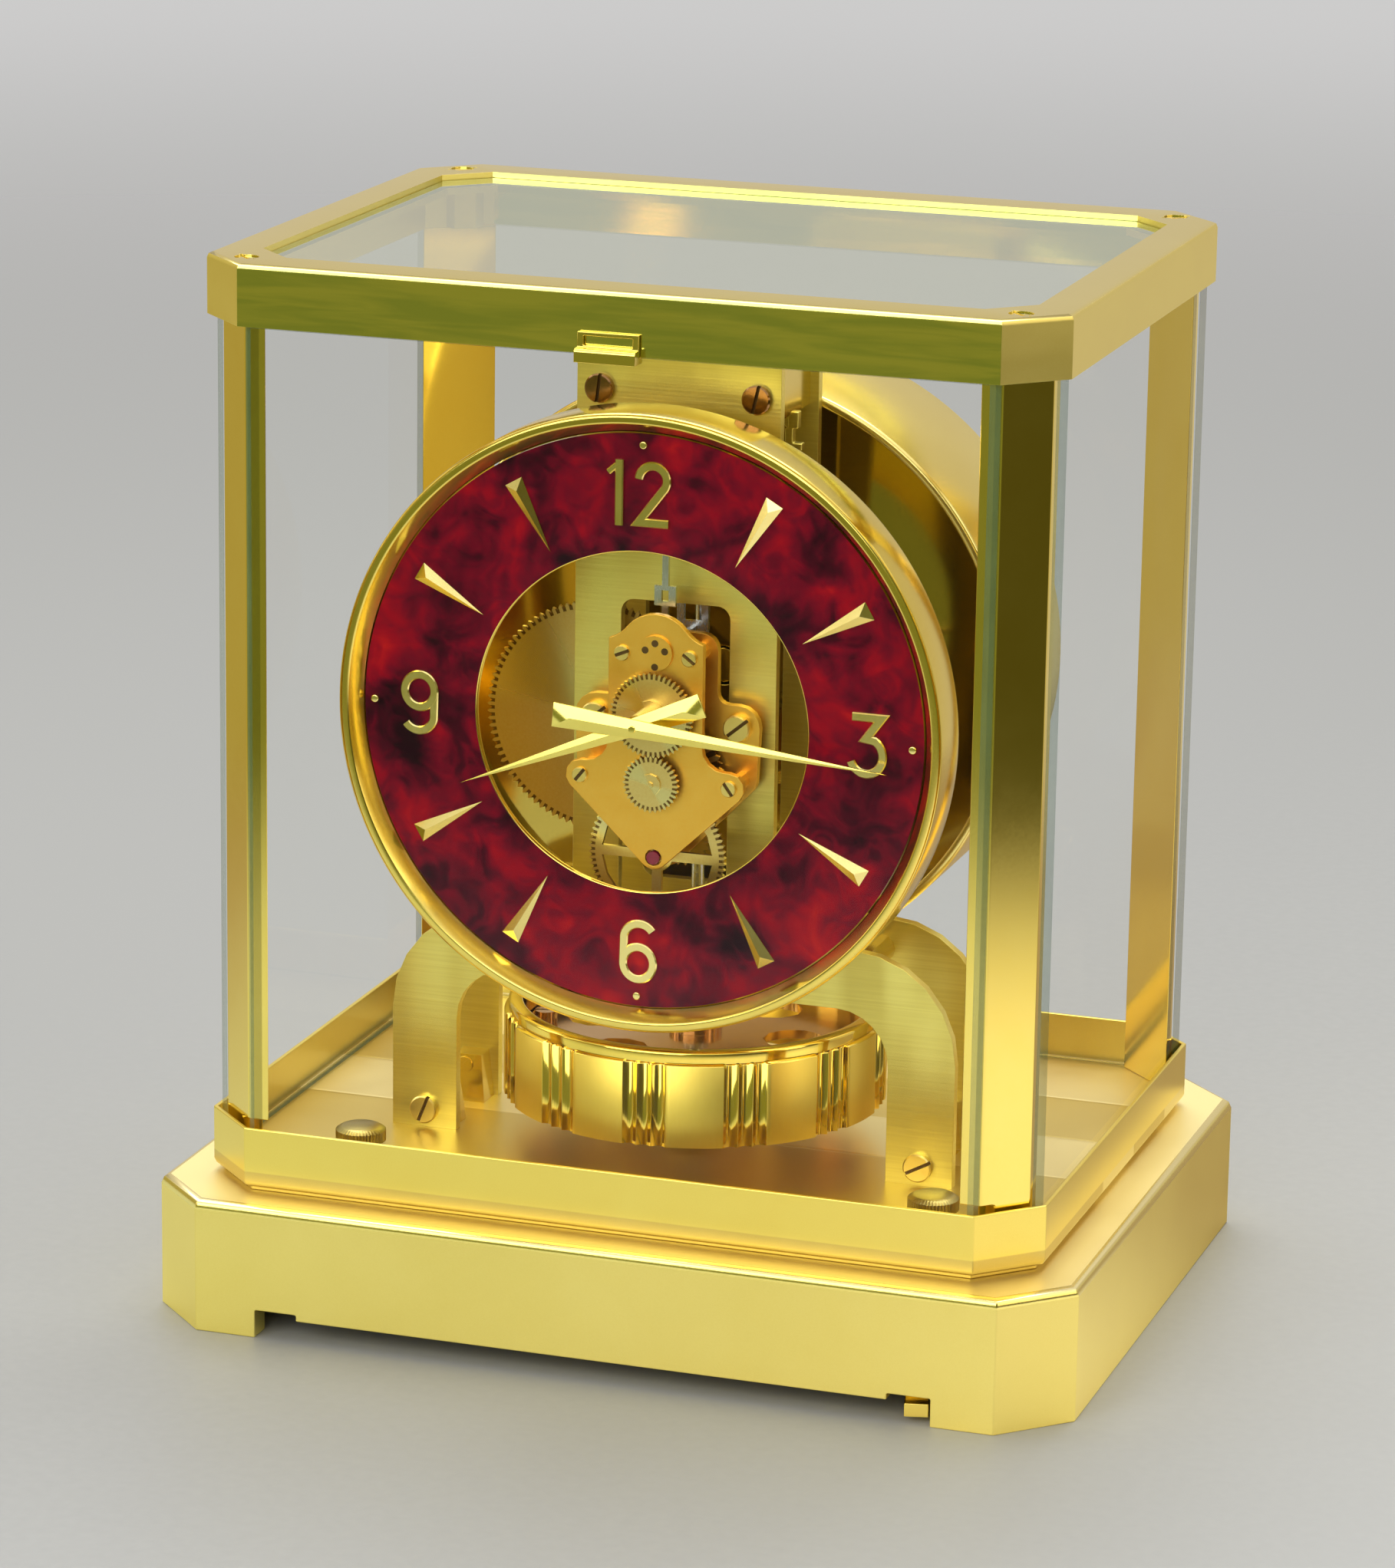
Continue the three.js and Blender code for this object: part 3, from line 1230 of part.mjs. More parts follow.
// A toothed outline given thickness, from its front face back
function toothed(outline, front, thickness = WHEEL_SHEET) {
  return plateY(outline, front, front + thickness);
}

function barrelDistance() {
  return Math.hypot(BARREL_X, BARREL_Z - THIRD_ARBOR_Z);
}

function escapeDistance() {
  return Math.hypot(ESCAPE_X, ESCAPE_Z - CENTRE_Z);
}

// Centre arbor: carries the minute hand, drives the motion work and the escape wheel
function centreArbor() {
  const arbor = rodY(CENTRE_ARBOR_RADIUS, MINUTE_FRONT, REAR_MOVEMENT, 0, CENTRE_Z, SCREW_SIDES);
  const cannonSize = toothSize(MINUTE_ARBOR_DROP, MINUTE_TEETH, CANNON_LEAVES);
  const cannon = gear(CANNON_LEAVES, cannonSize, 0, CENTRE_Z, -UP, false);
  const wheelSize = toothSize(escapeDistance(), CENTRE_TEETH, ESCAPE_LEAVES);
  const toEscape = Math.atan2(ESCAPE_Z - CENTRE_Z, ESCAPE_X);
  const wheel = gear(CENTRE_TEETH, wheelSize, 0, CENTRE_Z, toEscape, true);
  return join(arbor, toothed(cannon, REAR_LAYER, PINION_LENGTH), toothed(wheel, FRONT_LAYER));
}

// Hour wheel with its pipe, which carries the hour hand
function hourWheel() {
  const size = toothSize(MINUTE_ARBOR_DROP, HOUR_TEETH, MOTION_TEETH);
  const wheel = gear(HOUR_TEETH, size, 0, CENTRE_Z, -UP + halfPitch(HOUR_TEETH), true);
  const pipe = rodY(PIPE_RADIUS, HOUR_FRONT, MOTION_LAYER, 0, CENTRE_Z);
  const boss = rodY(HOUR_BOSS_RADIUS, MOTION_LAYER - WHEEL_SHEET, MOTION_LAYER, 0, CENTRE_Z);
  const bore = boreY(PIPE_BORE, HOUR_FRONT, MOTION_LAYER + WHEEL_SHEET, 0, CENTRE_Z);
  return cut(join(toothed(wheel, MOTION_LAYER), pipe, boss), bore);
}

// Minute arbor: its large wheel meets the cannon pinion, its small wheel the hour wheel
function minuteArbor() {
  const z = MINUTE_ARBOR_Z;
  const arbor = rodY(ARBOR_RADIUS, MOTION_LAYER - WHEEL_SHEET, REAR_MOVEMENT, 0, z, BORE_SIDES);
  const largeSize = toothSize(MINUTE_ARBOR_DROP, MINUTE_TEETH, CANNON_LEAVES);
  const large = gear(MINUTE_TEETH, largeSize, 0, z, UP + halfPitch(MINUTE_TEETH), true);
  const smallSize = toothSize(MINUTE_ARBOR_DROP, HOUR_TEETH, MOTION_TEETH);
  const small = gear(MOTION_TEETH, smallSize, 0, z, UP, true);
  const boss = rodY(PIPE_RADIUS, MOTION_LAYER - WHEEL_SHEET / 2, MOTION_LAYER, 0, z, SCREW_SIDES);
  const pinionSize = toothSize(THIRD_ARBOR_DROP, THIRD_TEETH, MINUTE_LEAVES);
  const pinion = gear(MINUTE_LEAVES, pinionSize, 0, z, -UP, false);
  const wheels = [toothed(large, REAR_LAYER), toothed(small, MOTION_LAYER)];
  return join(arbor, boss, ...wheels, toothed(pinion, FRONT_LAYER, PINION_LENGTH));
}

// The crossed wheel under the movement, and the pinion that the great wheel drives behind the frame
function thirdWheel() {
  const size = toothSize(THIRD_ARBOR_DROP, THIRD_TEETH, MINUTE_LEAVES);
  const shape = gear(THIRD_TEETH, size, 0, THIRD_ARBOR_Z, UP + halfPitch(THIRD_TEETH), true);
  const rim = size * (THIRD_TEETH / 2 - DEDENDUM) - THIRD_RIM;
  for (let i = 0; i < CROSSINGS; i++) shape.holes.push(crossing(rim, i));
  const end = GREAT_LAYER + PINION_LENGTH;
  const arbor = rodY(ARBOR_RADIUS, FRONT_MOVEMENT + GAP, end, 0, THIRD_ARBOR_Z, BORE_SIDES);
  const pinionSize = toothSize(barrelDistance(), GREAT_TEETH, THIRD_LEAVES);
  const toBarrel = Math.atan2(BARREL_Z - THIRD_ARBOR_Z, BARREL_X);
  const pinion = gear(THIRD_LEAVES, pinionSize, 0, THIRD_ARBOR_Z, toBarrel, true);
  return join(toothed(shape, FRONT_LAYER), arbor, toothed(pinion, GREAT_LAYER));
}

// One opening between two spokes of the crossed wheel
function crossing(rim, index) {
  const sector = TAU / CROSSINGS;
  const start = index * sector;
  const outer = Math.asin(SPOKE / rim);
  const inner = Math.asin(SPOKE / THIRD_HUB);
  const hole = new THREE.Path();
  hole.absarc(0, THIRD_ARBOR_Z, rim, start + outer, start + sector - outer, false);
  hole.absarc(0, THIRD_ARBOR_Z, THIRD_HUB, start + sector - inner, start + inner, true);
  hole.closePath();
  return hole;
}

// The fine toothed great wheel and the mainspring barrel behind it
function greatWheel() {
  const size = toothSize(barrelDistance(), GREAT_TEETH, THIRD_LEAVES);
  const toThird = Math.atan2(THIRD_ARBOR_Z - BARREL_Z, -BARREL_X);
  const shape = gear(GREAT_TEETH, size, BARREL_X, BARREL_Z, toThird + halfPitch(GREAT_TEETH), true);
  const front = GREAT_LAYER + WHEEL_SHEET / 2;
  const back = GREAT_LAYER + WHEEL_SHEET + BARREL_LENGTH;
  const drum = rodY(BARREL_RADIUS, front, back, BARREL_X, BARREL_Z, SMALL_RING_SIDES);
  const bore = boreY(BARREL_ARBOR_RADIUS + RUNNING, GREAT_LAYER, back, BARREL_X, BARREL_Z, 12);
  return cut(join(toothed(shape, GREAT_LAYER), drum), bore);
}

function barrelArbor() {
  const front = FRONT_PLATE_FACE + PLATE;
  return rodY(BARREL_ARBOR_RADIUS, front, REAR_PLATE_FACE, BARREL_X, BARREL_Z, SCREW_SIDES);
}

// Escape wheel with hooked teeth, and its pinion
function escapeWheel() {
  const shape = new THREE.Shape();
  const pitch = TAU / ESCAPE_TEETH;
  const root = ESCAPE_RADIUS - ESCAPE_TOOTH;
  for (let i = 0; i < ESCAPE_TEETH; i++) {
    const tip = i * pitch;
    ringPoint(shape, root, tip - pitch / 2);
    ringPoint(shape, ESCAPE_RADIUS, tip);
    ringPoint(shape, root, tip + pitch * TIP_SHARE);
  }
  shape.closePath();
  const wheel = toothed(shape, REAR_LAYER).translate([ESCAPE_X, 0, ESCAPE_Z]);
  const front = FRONT_MOVEMENT + MOVEMENT_PLATE + GAP;
  const arbor = rodY(ARBOR_RADIUS, front, REAR_MOVEMENT - GAP, ESCAPE_X, ESCAPE_Z, BORE_SIDES);
  const size = toothSize(escapeDistance(), CENTRE_TEETH, ESCAPE_LEAVES);
  const phase = Math.atan2(CENTRE_Z - ESCAPE_Z, -ESCAPE_X) + halfPitch(ESCAPE_LEAVES);
  const pinion = gear(ESCAPE_LEAVES, size, ESCAPE_X, ESCAPE_Z, phase, false);
  return join(wheel, arbor, toothed(pinion, FRONT_LAYER, PINION_LENGTH));
}

// Pallet lever: an anchor over the escape wheel, a forked stem above it and the crutch behind
function palletLever() {
  const front = FRONT_MOVEMENT + MOVEMENT_PLATE + GAP;
  const arbor = rodY(ARBOR_RADIUS, front, CRUTCH_Y + CRUTCH_SHEET, 0, PALLET_Z, BORE_SIDES);
  const hub = rodY(PALLET_HUB, REAR_LAYER, REAR_LAYER + WHEEL_SHEET, 0, PALLET_Z, SCREW_SIDES);
  return join(arbor, hub, ...mirrored(palletArm), stemWithFork(), crutch());
}

// One arm of the anchor ends just outside the circle of the escape teeth
function palletArm(side) {
  const line = Math.atan2(PALLET_Z - ESCAPE_Z, -ESCAPE_X) + side * PALLET_REACH;
  const reach = ESCAPE_RADIUS + PALLET_CLEAR;
  const end = [ESCAPE_X + reach * Math.cos(line), ESCAPE_Z + reach * Math.sin(line)];
  const away = new THREE.Vector2(end[0], end[1] - PALLET_Z);
  const length = away.length();
  const arm = new THREE.BoxGeometry(length, WHEEL_SHEET, PALLET_ARM);
  arm.translate(length / 2, 0, 0).rotateY(-Math.atan2(away.y, away.x));
  return solid(arm.translate(0, REAR_LAYER + WHEEL_SHEET / 2, PALLET_Z));
}

function stemWithFork() {
  const back = REAR_LAYER + WHEEL_SHEET;
  const low = FORK_BASE_BOTTOM + FORK_FRAME;
  const high = FORK_BASE_TOP - FORK_FRAME;
  const lower = box(-STEM_HALF, STEM_HALF, REAR_LAYER, back, PALLET_Z, low);
  const base = box(-FORK_BASE_HALF, FORK_BASE_HALF, REAR_LAYER, back, FORK_BASE_BOTTOM, FORK_BASE_TOP);
  const slot = box(-FORK_SLOT_HALF, FORK_SLOT_HALF, REAR_LAYER - PAST, back + PAST, low, high);
  const upper = box(-STEM_HALF, STEM_HALF, REAR_LAYER, back, high, STEM_TOP);
  return join(lower, cut(base, slot), upper);
}

function crutch() {
  const back = CRUTCH_Y + CRUTCH_SHEET;
  const arm = box(-CRUTCH_HALF, CRUTCH_HALF, CRUTCH_Y, back, PALLET_Z - PALLET_HUB, CRUTCH_TOP);
  const low = PALLET_Z + PALLET_HUB;
  const slot = box(-CRUTCH_SLOT_HALF, CRUTCH_SLOT_HALF, CRUTCH_Y - PAST, back + PAST, low, CRUTCH_TOP + PAST);
  return cut(arm, slot);
}

// Draws a row of arcs up the right side of an outline and, mirrored, down its left side
function bothFlanks(arcs) {
  const shape = new THREE.Shape();
  arcs.forEach(({ x, z, radius, from, to }) => shape.absarc(x, z, radius, from, to, to < from));
  arcs.toReversed().forEach(({ x, z, radius, from, to }) => {
    shape.absarc(-x, z, radius, Math.PI - to, Math.PI - from, to < from);
  });
  return shape;
}

function flankArc(x, z, radius, from, to) {
  return { x, z, radius, from, to };
}

// The angle at which a straight edge leaves a lower arc on the middle line for a like arc at one side
function edgeAngle(x, rise) {
  return Math.atan2(rise, x) - UP;
}

// Front movement plate: a round crown, a square neck, and two wings over a pointed tip
function frontMovementPlate() {
  const lean = edgeAngle(LOWER_SCREW_X, LOWER_SCREW_Z - TIP_Z);
  const flareX = (CROWN_RADIUS + CROWN_FLARE) * Math.cos(CROWN_TURN);
  const flareZ = PALLET_Z + (CROWN_RADIUS + CROWN_FLARE) * Math.sin(CROWN_TURN);
  const neckTurn = Math.acos((NECK_HALF - flareX) / CROWN_FLARE);
  const wingTop = LOWER_SCREW_Z + WING_RADIUS;
  const outline = bothFlanks([
    flankArc(0, TIP_Z, TIP_RADIUS, -UP, lean),
    flankArc(LOWER_SCREW_X, LOWER_SCREW_Z, WING_RADIUS, lean, UP),
    flankArc(NECK_HALF + WING_FLARE, wingTop + WING_FLARE, WING_FLARE, -UP, -Math.PI),
    flankArc(flareX, flareZ, CROWN_FLARE, -neckTurn, CROWN_TURN - Math.PI),
    flankArc(0, PALLET_Z, CROWN_RADIUS, CROWN_TURN, UP),
  ]);
  const plate = plateY(outline, FRONT_MOVEMENT, FRONT_MOVEMENT + MOVEMENT_PLATE);
  const bores = [
    plateBore(CENTRE_ARBOR_RADIUS, CENTRE_Z),
    plateBore(ARBOR_RADIUS, MINUTE_ARBOR_Z),
    plateBore(JEWEL_RADIUS, THIRD_ARBOR_Z),
  ];
  return cut(plate, ...bores, ...movementScrewBores());
}

function plateBore(radius, z) {
  return boreY(radius + RUNNING, FRONT_MOVEMENT, FRONT_MOVEMENT + MOVEMENT_PLATE, 0, z);
}

function movementScrewBores() {
  const radius = PLATE_SCREW_RADIUS / 2 + GAP;
  const back = FRONT_MOVEMENT + MOVEMENT_PLATE;
  return movementScrewPlaces().map(([x, z]) => boreY(radius, FRONT_MOVEMENT, back, x, z, BORE_SIDES));
}

function movementScrewPlaces() {
  return [
    ...mirrored((side) => [side * UPPER_SCREW_X, UPPER_SCREW_Z]),
    ...mirrored((side) => [side * LOWER_SCREW_X, LOWER_SCREW_Z]),
  ];
}

// Rear movement plate with its riveted pillars; its broad wings are screwed to the column of the frame
function rearMovementPlate() {
  const back = REAR_MOVEMENT + REAR_MOVEMENT_PLATE;
  const lean = edgeAngle(LOWER_SCREW_X, LOWER_SCREW_Z - TIP_Z);
  const neck = UPPER_SCREW_X + REAR_NECK_RADIUS;
  const wingTop = WING_SCREW_Z + REAR_WING_RADIUS;
  const outline = bothFlanks([
    flankArc(0, TIP_Z, REAR_TIP_RADIUS, -UP, lean),
    flankArc(LOWER_SCREW_X, LOWER_SCREW_Z, REAR_LOWER_RADIUS, lean, 0),
    flankArc(WING_SCREW_X, WING_SCREW_Z, REAR_WING_RADIUS, 0, UP),
    flankArc(neck + REAR_FLARE, wingTop + REAR_FLARE, REAR_FLARE, -UP, -Math.PI),
    flankArc(UPPER_SCREW_X, UPPER_SCREW_Z, REAR_NECK_RADIUS, 0, UP),
  ]);
  const plate = plateY(outline, REAR_MOVEMENT, back);
  const spacers = mirrored((side) => {
    return rodY(WING_SCREW_RADIUS, back, FRONT_PLATE_FACE, side * WING_SCREW_X, WING_SCREW_Z);
  });
  const screwBore = WING_SCREW_RADIUS / 2 + GAP;
  const bores = [
    boreY(ARBOR_RADIUS + RUNNING, REAR_MOVEMENT, back, 0, THIRD_ARBOR_Z),
    boreY(ARBOR_RADIUS + RUNNING, REAR_MOVEMENT, back, 0, PALLET_Z),
    ...mirrored((side) => {
      return boreY(screwBore, REAR_MOVEMENT, FRONT_PLATE_FACE, side * WING_SCREW_X, WING_SCREW_Z);
    }),
  ];
  return cut(join(plate, ...spacers, ...movementPillars()), ...bores);
}

function movementPillars() {
  const front = FRONT_MOVEMENT + MOVEMENT_PLATE;
  return movementScrewPlaces().map(([x, z]) => {
    const post = rodY(MOVEMENT_PILLAR_RADIUS, front, REAR_MOVEMENT + PAST, x, z, SCREW_SIDES);
    return cut(post, rodY(PLATE_SCREW_RADIUS / 2 + GAP, front - PAST, REAR_MOVEMENT, x, z, BORE_SIDES));
  });
}

function plateScrew(x, z) {
  const reach = REAR_MOVEMENT - FRONT_MOVEMENT - PAST * 2;
  const turn = -Math.sign(x) * UP / 2;
  return screwY(PLATE_SCREW_RADIUS, PLATE_SCREW_HEAD, reach, FRONT_MOVEMENT, x, z, turn);
}

function wingScrew(side) {
  const reach = FRONT_PLATE_FACE - REAR_MOVEMENT + PLATE / 2;
  const x = side * WING_SCREW_X;
  return screwY(WING_SCREW_RADIUS, WING_SCREW_HEAD, reach, REAR_MOVEMENT, x, WING_SCREW_Z, UP / 2);
}

// The disc with four spanner holes in front of the pallet arbor
function palletBush() {
  const front = FRONT_MOVEMENT - BUSH_HEIGHT;
  const disc = rodY(BUSH_RADIUS, front, FRONT_MOVEMENT, 0, PALLET_Z, SMALL_RING_SIDES);
  const hole = (x, rise) => {
    return rodY(BUSH_HOLE_RADIUS, front - PAST, front + BUSH_HEIGHT / 2, x, PALLET_Z + rise, BORE_SIDES);
  };
  const sides = mirrored((side) => hole(side * BUSH_HOLE_SIDE, BUSH_HOLE_RISE));
  return cut(disc, ...sides, hole(0, BUSH_HOLE_UPPER), hole(0, BUSH_HOLE_LOWER));
}

function thirdJewel() {
  const back = FRONT_MOVEMENT + MOVEMENT_PLATE / 2;
  const jewel = rodY(JEWEL_RADIUS, FRONT_MOVEMENT - GAP, back, 0, THIRD_ARBOR_Z, SCREW_SIDES);
  return cut(jewel, rodY(ARBOR_RADIUS + GAP / 2, FRONT_MOVEMENT, back + PAST, 0, THIRD_ARBOR_Z, BORE_SIDES));
}

// Lock lever: its tab shows in the relief under the apron, its curved cam lifts the plunger
function lockLever() {
  const top = LOCK_ARM_BOTTOM + LOCK_ARM;
  const hub = rodZ(LOCK_HUB_RADIUS, LOCK_ARM_BOTTOM, top, LOCK_PIVOT_X, LOCK_PIVOT_Y);
  const radius = LOCK_STUD_RADIUS + RUNNING;
  const bore = rodZ(radius, LOCK_ARM_BOTTOM - PAST, top + PAST, LOCK_PIVOT_X, LOCK_PIVOT_Y);
  const way = LOCK_TURN / 2 - UP;
  const inner = LOCK_REACH - BASE_WALL - LOCK_LEG;
  const arm = lockBar(way, 0, inner + LOCK_LEG, LOCK_ARM_HALF, LOCK_ARM_BOTTOM, top);
  const leg = lockBar(way, inner, inner + LOCK_LEG, LOCK_TAB_HALF, LOCK_TAB_BOTTOM, top);
  const tab = lockBar(way, inner, LOCK_REACH, LOCK_TAB_HALF, LOCK_TAB_BOTTOM, LOCK_TAB_TOP);
  const long = lockBar(camWay() + LOCK_TURN / 2, 0, camRadius(), LOCK_ARM_HALF, LOCK_ARM_BOTTOM, top);
  return cut(join(hub, arm, leg, tab, long, lockCam()), bore);
}

// A bar that points away from the pivot, between two distances
function lockBar(way, near, far, half, bottom, top) {
  const geometry = new THREE.BoxGeometry(far - near, half * 2, top - bottom);
  geometry.translate((near + far) / 2, 0, (bottom + top) / 2).rotateZ(way);
  return solid(geometry.translate(LOCK_PIVOT_X, LOCK_PIVOT_Y, 0));
}

function camRadius() {
  return Math.hypot(LOCK_PIVOT_X, PENDULUM_Y - LOCK_PIVOT_Y);
}

function camWay() {
  return Math.atan2(PENDULUM_Y - LOCK_PIVOT_Y, -LOCK_PIVOT_X);
}

// The cam curves round the pivot and rises from under the plunger
function lockCam() {
  const radius = camRadius();
  const start = -PLUNGER_RADIUS / radius;
  const span = LOCK_TURN - start * 2;
  const slope = PLUNGER_RISE / LOCK_TURN;
  const low = PLUNGER_BOTTOM - GAP - (PLUNGER_TIP / radius) * slope;
  const steps = Array.from({ length: CAM_STEPS }, (_, i) => {
    const ends = [i, i + 1].map((step) => start + (span * step) / CAM_STEPS);
    return hull(ends.flatMap((turn) => camEdge(radius, turn, low + Math.min(turn, LOCK_TURN) * slope)));
  });
  return join(...steps);
}

function camEdge(radius, turn, top) {
  const angle = camWay() + turn;
  return [-CAM_WIDTH / 2, CAM_WIDTH / 2].flatMap((across) => [LOCK_ARM_BOTTOM, top].map((z) => [
    LOCK_PIVOT_X + (radius + across) * Math.cos(angle),
    LOCK_PIVOT_Y + (radius + across) * Math.sin(angle),
    z,
  ]));
}

// The plunger rises through the deck and the tray to hold the pendulum still
function lockPlunger() {
  return turnedZ([
    [0, PLUNGER_BOTTOM],
    [PLUNGER_TIP, PLUNGER_BOTTOM],
    [PLUNGER_RADIUS, PLUNGER_BOTTOM + PLUNGER_RADIUS - PLUNGER_TIP],
    [PLUNGER_RADIUS, FLOOR + GAP],
    [PLUNGER_HEAD, FLOOR + GAP],
    [PLUNGER_HEAD, PLUNGER_TOP],
    [0, PLUNGER_TOP],
  ], SCREW_SIDES);
}

// Levelling screw with a knurled head inside the case and its foot under the base
function levellingScrew(side) {
  const x = side * LEVEL_X;
  const shape = new THREE.Shape();
  for (let i = 0; i < KNURLS * 2; i++) {
    const radius = i % 2 ? LEVEL_HEAD_RADIUS : LEVEL_HEAD_RADIUS - KNURL_DEPTH;
    ringPoint(shape, radius, (i * TAU) / (KNURLS * 2));
  }
  shape.closePath();
  const head = plateZ(shape, LEVEL_HEAD_BOTTOM, LEVEL_HEAD_TOP - LEVEL_CROWN).translate([x, LEVEL_Y, 0]);
  const crown = turnedZ([
    [0, LEVEL_HEAD_TOP - LEVEL_CROWN],
    [LEVEL_HEAD_RADIUS - KNURL_DEPTH, LEVEL_HEAD_TOP - LEVEL_CROWN],
    [LEVEL_HEAD_RADIUS - LEVEL_CROWN, LEVEL_HEAD_TOP],
    [0, LEVEL_HEAD_TOP],
  ], SCREW_SIDES, x, LEVEL_Y);
  const shank = rodZ(LEVEL_SHANK_RADIUS, LEVEL_FOOT_BOTTOM, LEVEL_HEAD_BOTTOM, x, LEVEL_Y, SCREW_SIDES);
  const foot = rodZ(LEVEL_FOOT_RADIUS, LEVEL_FOOT_BOTTOM, LEVEL_FOOT_TOP, x, LEVEL_Y, SCREW_SIDES);
  return join(head, crown, shank, foot);
}

function footScrew(side) {
  const reach = PLATE + BLOCK_DEPTH / 2;
  const turn = side < 0 ? UP : UP / 3;
  return frameScrew(reach, side * FOOT_SCREW_X, FOOT_SCREW_Z, turn);
}

function suspensionScrew(side) {
  const reach = PLATE + PILLAR_RADIUS;
  return frameScrew(reach, side * TOP_SCREW_X, TOP_SCREW_Z, UP);
}

function frameScrew(reach, x, z, turn) {
  return screwY(FRAME_SCREW_RADIUS, FRAME_SCREW_HEAD, reach, FRONT_PLATE_FACE, x, z, turn);
}

// Case
node("base_casting", baseCasting(), satin);
node("plinth_tray", plinthTray(), satin);
eachCorner((x, y) => node(`post_${corner(x, y)}`, post(x, y), satin));
node("left_pane", pane(SIDE_FACE, Math.PI), glass);
node("right_pane", pane(SIDE_FACE, 0), glass);
node("back_pane", pane(FRONT_FACE, UP), glass);
node("front_pane", pane(FRONT_FACE, -UP), glass);
node("pane_catch", paneCatch(), gilt);
node("top_frame", topFrame(), satin);
node("top_pane", topPane(), glass);

// Frame
node("front_frame_plate", frontFramePlate(), satin);
node("rear_frame_plate", framePlate(REAR_WINDOW_HALF, REAR_WINDOW_TOP, REAR_PLATE_FACE), satin);
mirrored((x) => node(`front_foot_block_${sideName(x)}`, frontFootBlock(x), gilt));
mirrored((x) => node(`rear_foot_block_${sideName(x)}`, rearFootBlock(x), gilt));
mirrored((x) => node(`foot_screw_${sideName(x)}`, footScrew(x), gilt));
mirrored((x) => node(`frame_pillar_${sideName(x)}`, framePillar(x), gilt));
mirrored((x) => node(`suspension_screw_${sideName(x)}`, suspensionScrew(x), gilt));
node("suspension_block", suspensionBlock(), gilt);

// Bellows
node("bellows_drum", bellowsDrum(), satin);
node("drum_face", drumFace(), gilt);
node("bellows", bellows(), gilt);
node("bellows_cap", bellowsCap(), gilt);

// Dial and hands
node("bezel", bezel(), gilt);
node("dial_ring", dialRing(), marbled);
node("minute_hand", minuteHand(), gilt);
node("hour_hand", hourHand(), gilt);

// Movement
node("front_movement_plate", frontMovementPlate(), rose);
node("rear_movement_plate", rearMovementPlate(), rose);
movementScrewPlaces().forEach(([x, z]) => {
  node(`plate_screw_${level(z)}_${sideName(x)}`, plateScrew(x, z), gilt);
});
mirrored((x) => node(`wing_screw_${sideName(x)}`, wingScrew(x), gilt));
node("pallet_bush", palletBush(), gilt);
node("third_jewel", thirdJewel(), ruby);
node("centre_arbor", centreArbor(), gilt);
node("hour_wheel", hourWheel(), gilt);
node("minute_wheel", minuteArbor(), gilt);
node("third_wheel", thirdWheel(), gilt);
node("great_wheel", greatWheel(), gilt);
node("barrel_arbor", barrelArbor(), steel);
node("escape_wheel", escapeWheel(), gilt);
node("pallet_lever", palletLever(), steel);

// Pendulum
node("pendulum_ring", pendulumRing(), gilt);
node("pendulum_web", pendulumWeb(), rose);
node("pendulum_staff", pendulumStaff(), steel);
node("suspension_wire", suspensionWire(), steel);

// Lock and levelling
node("lock_lever", lockLever(), gilt);
node("lock_plunger", lockPlunger(), steel);
mirrored((x) => node(`levelling_screw_${sideName(x)}`, levellingScrew(x), gilt));

export default group;
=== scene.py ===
import math

import bmesh
import bpy
from mathutils import Matrix, Vector


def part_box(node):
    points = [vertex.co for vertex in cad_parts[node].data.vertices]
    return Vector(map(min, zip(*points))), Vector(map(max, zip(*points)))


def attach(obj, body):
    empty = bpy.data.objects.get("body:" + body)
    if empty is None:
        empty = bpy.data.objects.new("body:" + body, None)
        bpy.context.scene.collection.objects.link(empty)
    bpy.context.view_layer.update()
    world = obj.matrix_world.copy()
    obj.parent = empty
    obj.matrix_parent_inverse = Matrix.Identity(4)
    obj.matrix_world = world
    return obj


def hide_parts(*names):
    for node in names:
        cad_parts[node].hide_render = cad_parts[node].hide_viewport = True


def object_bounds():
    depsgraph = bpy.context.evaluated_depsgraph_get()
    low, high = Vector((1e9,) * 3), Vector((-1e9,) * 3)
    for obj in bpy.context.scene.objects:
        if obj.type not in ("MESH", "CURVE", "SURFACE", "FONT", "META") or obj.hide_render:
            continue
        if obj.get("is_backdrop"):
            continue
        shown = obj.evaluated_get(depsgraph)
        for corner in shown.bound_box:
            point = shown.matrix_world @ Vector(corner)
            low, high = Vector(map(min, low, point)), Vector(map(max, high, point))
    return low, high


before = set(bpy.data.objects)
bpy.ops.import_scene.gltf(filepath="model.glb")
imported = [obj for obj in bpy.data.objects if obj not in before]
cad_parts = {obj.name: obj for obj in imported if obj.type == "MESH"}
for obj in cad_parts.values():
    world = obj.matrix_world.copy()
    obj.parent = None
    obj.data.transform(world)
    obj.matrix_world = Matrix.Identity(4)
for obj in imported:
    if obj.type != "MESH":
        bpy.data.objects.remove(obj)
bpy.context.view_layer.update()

# An atmospheric clock: a gilt and glass case, a lacquered dial ring, a train with a bellows drum
# behind it and a torsion pendulum under it. Lengths below are millimetres unless a name says so.
scene = bpy.context.scene
scene.view_settings.view_transform = "Standard"


# Camera
# The photograph looks down on the clock from its front right, through a long lens.
MM = 0.001
IMAGE_HEIGHT_PIXELS = 2044
FOCAL_PIXELS = 7703.3
SENSOR = 36
CAMERA_PLACE = (393.2, -1206.0, 450.0)
CAMERA_YAW = 18.23
CAMERA_PITCH = 14.92
CAMERA_ROLL = 0.868

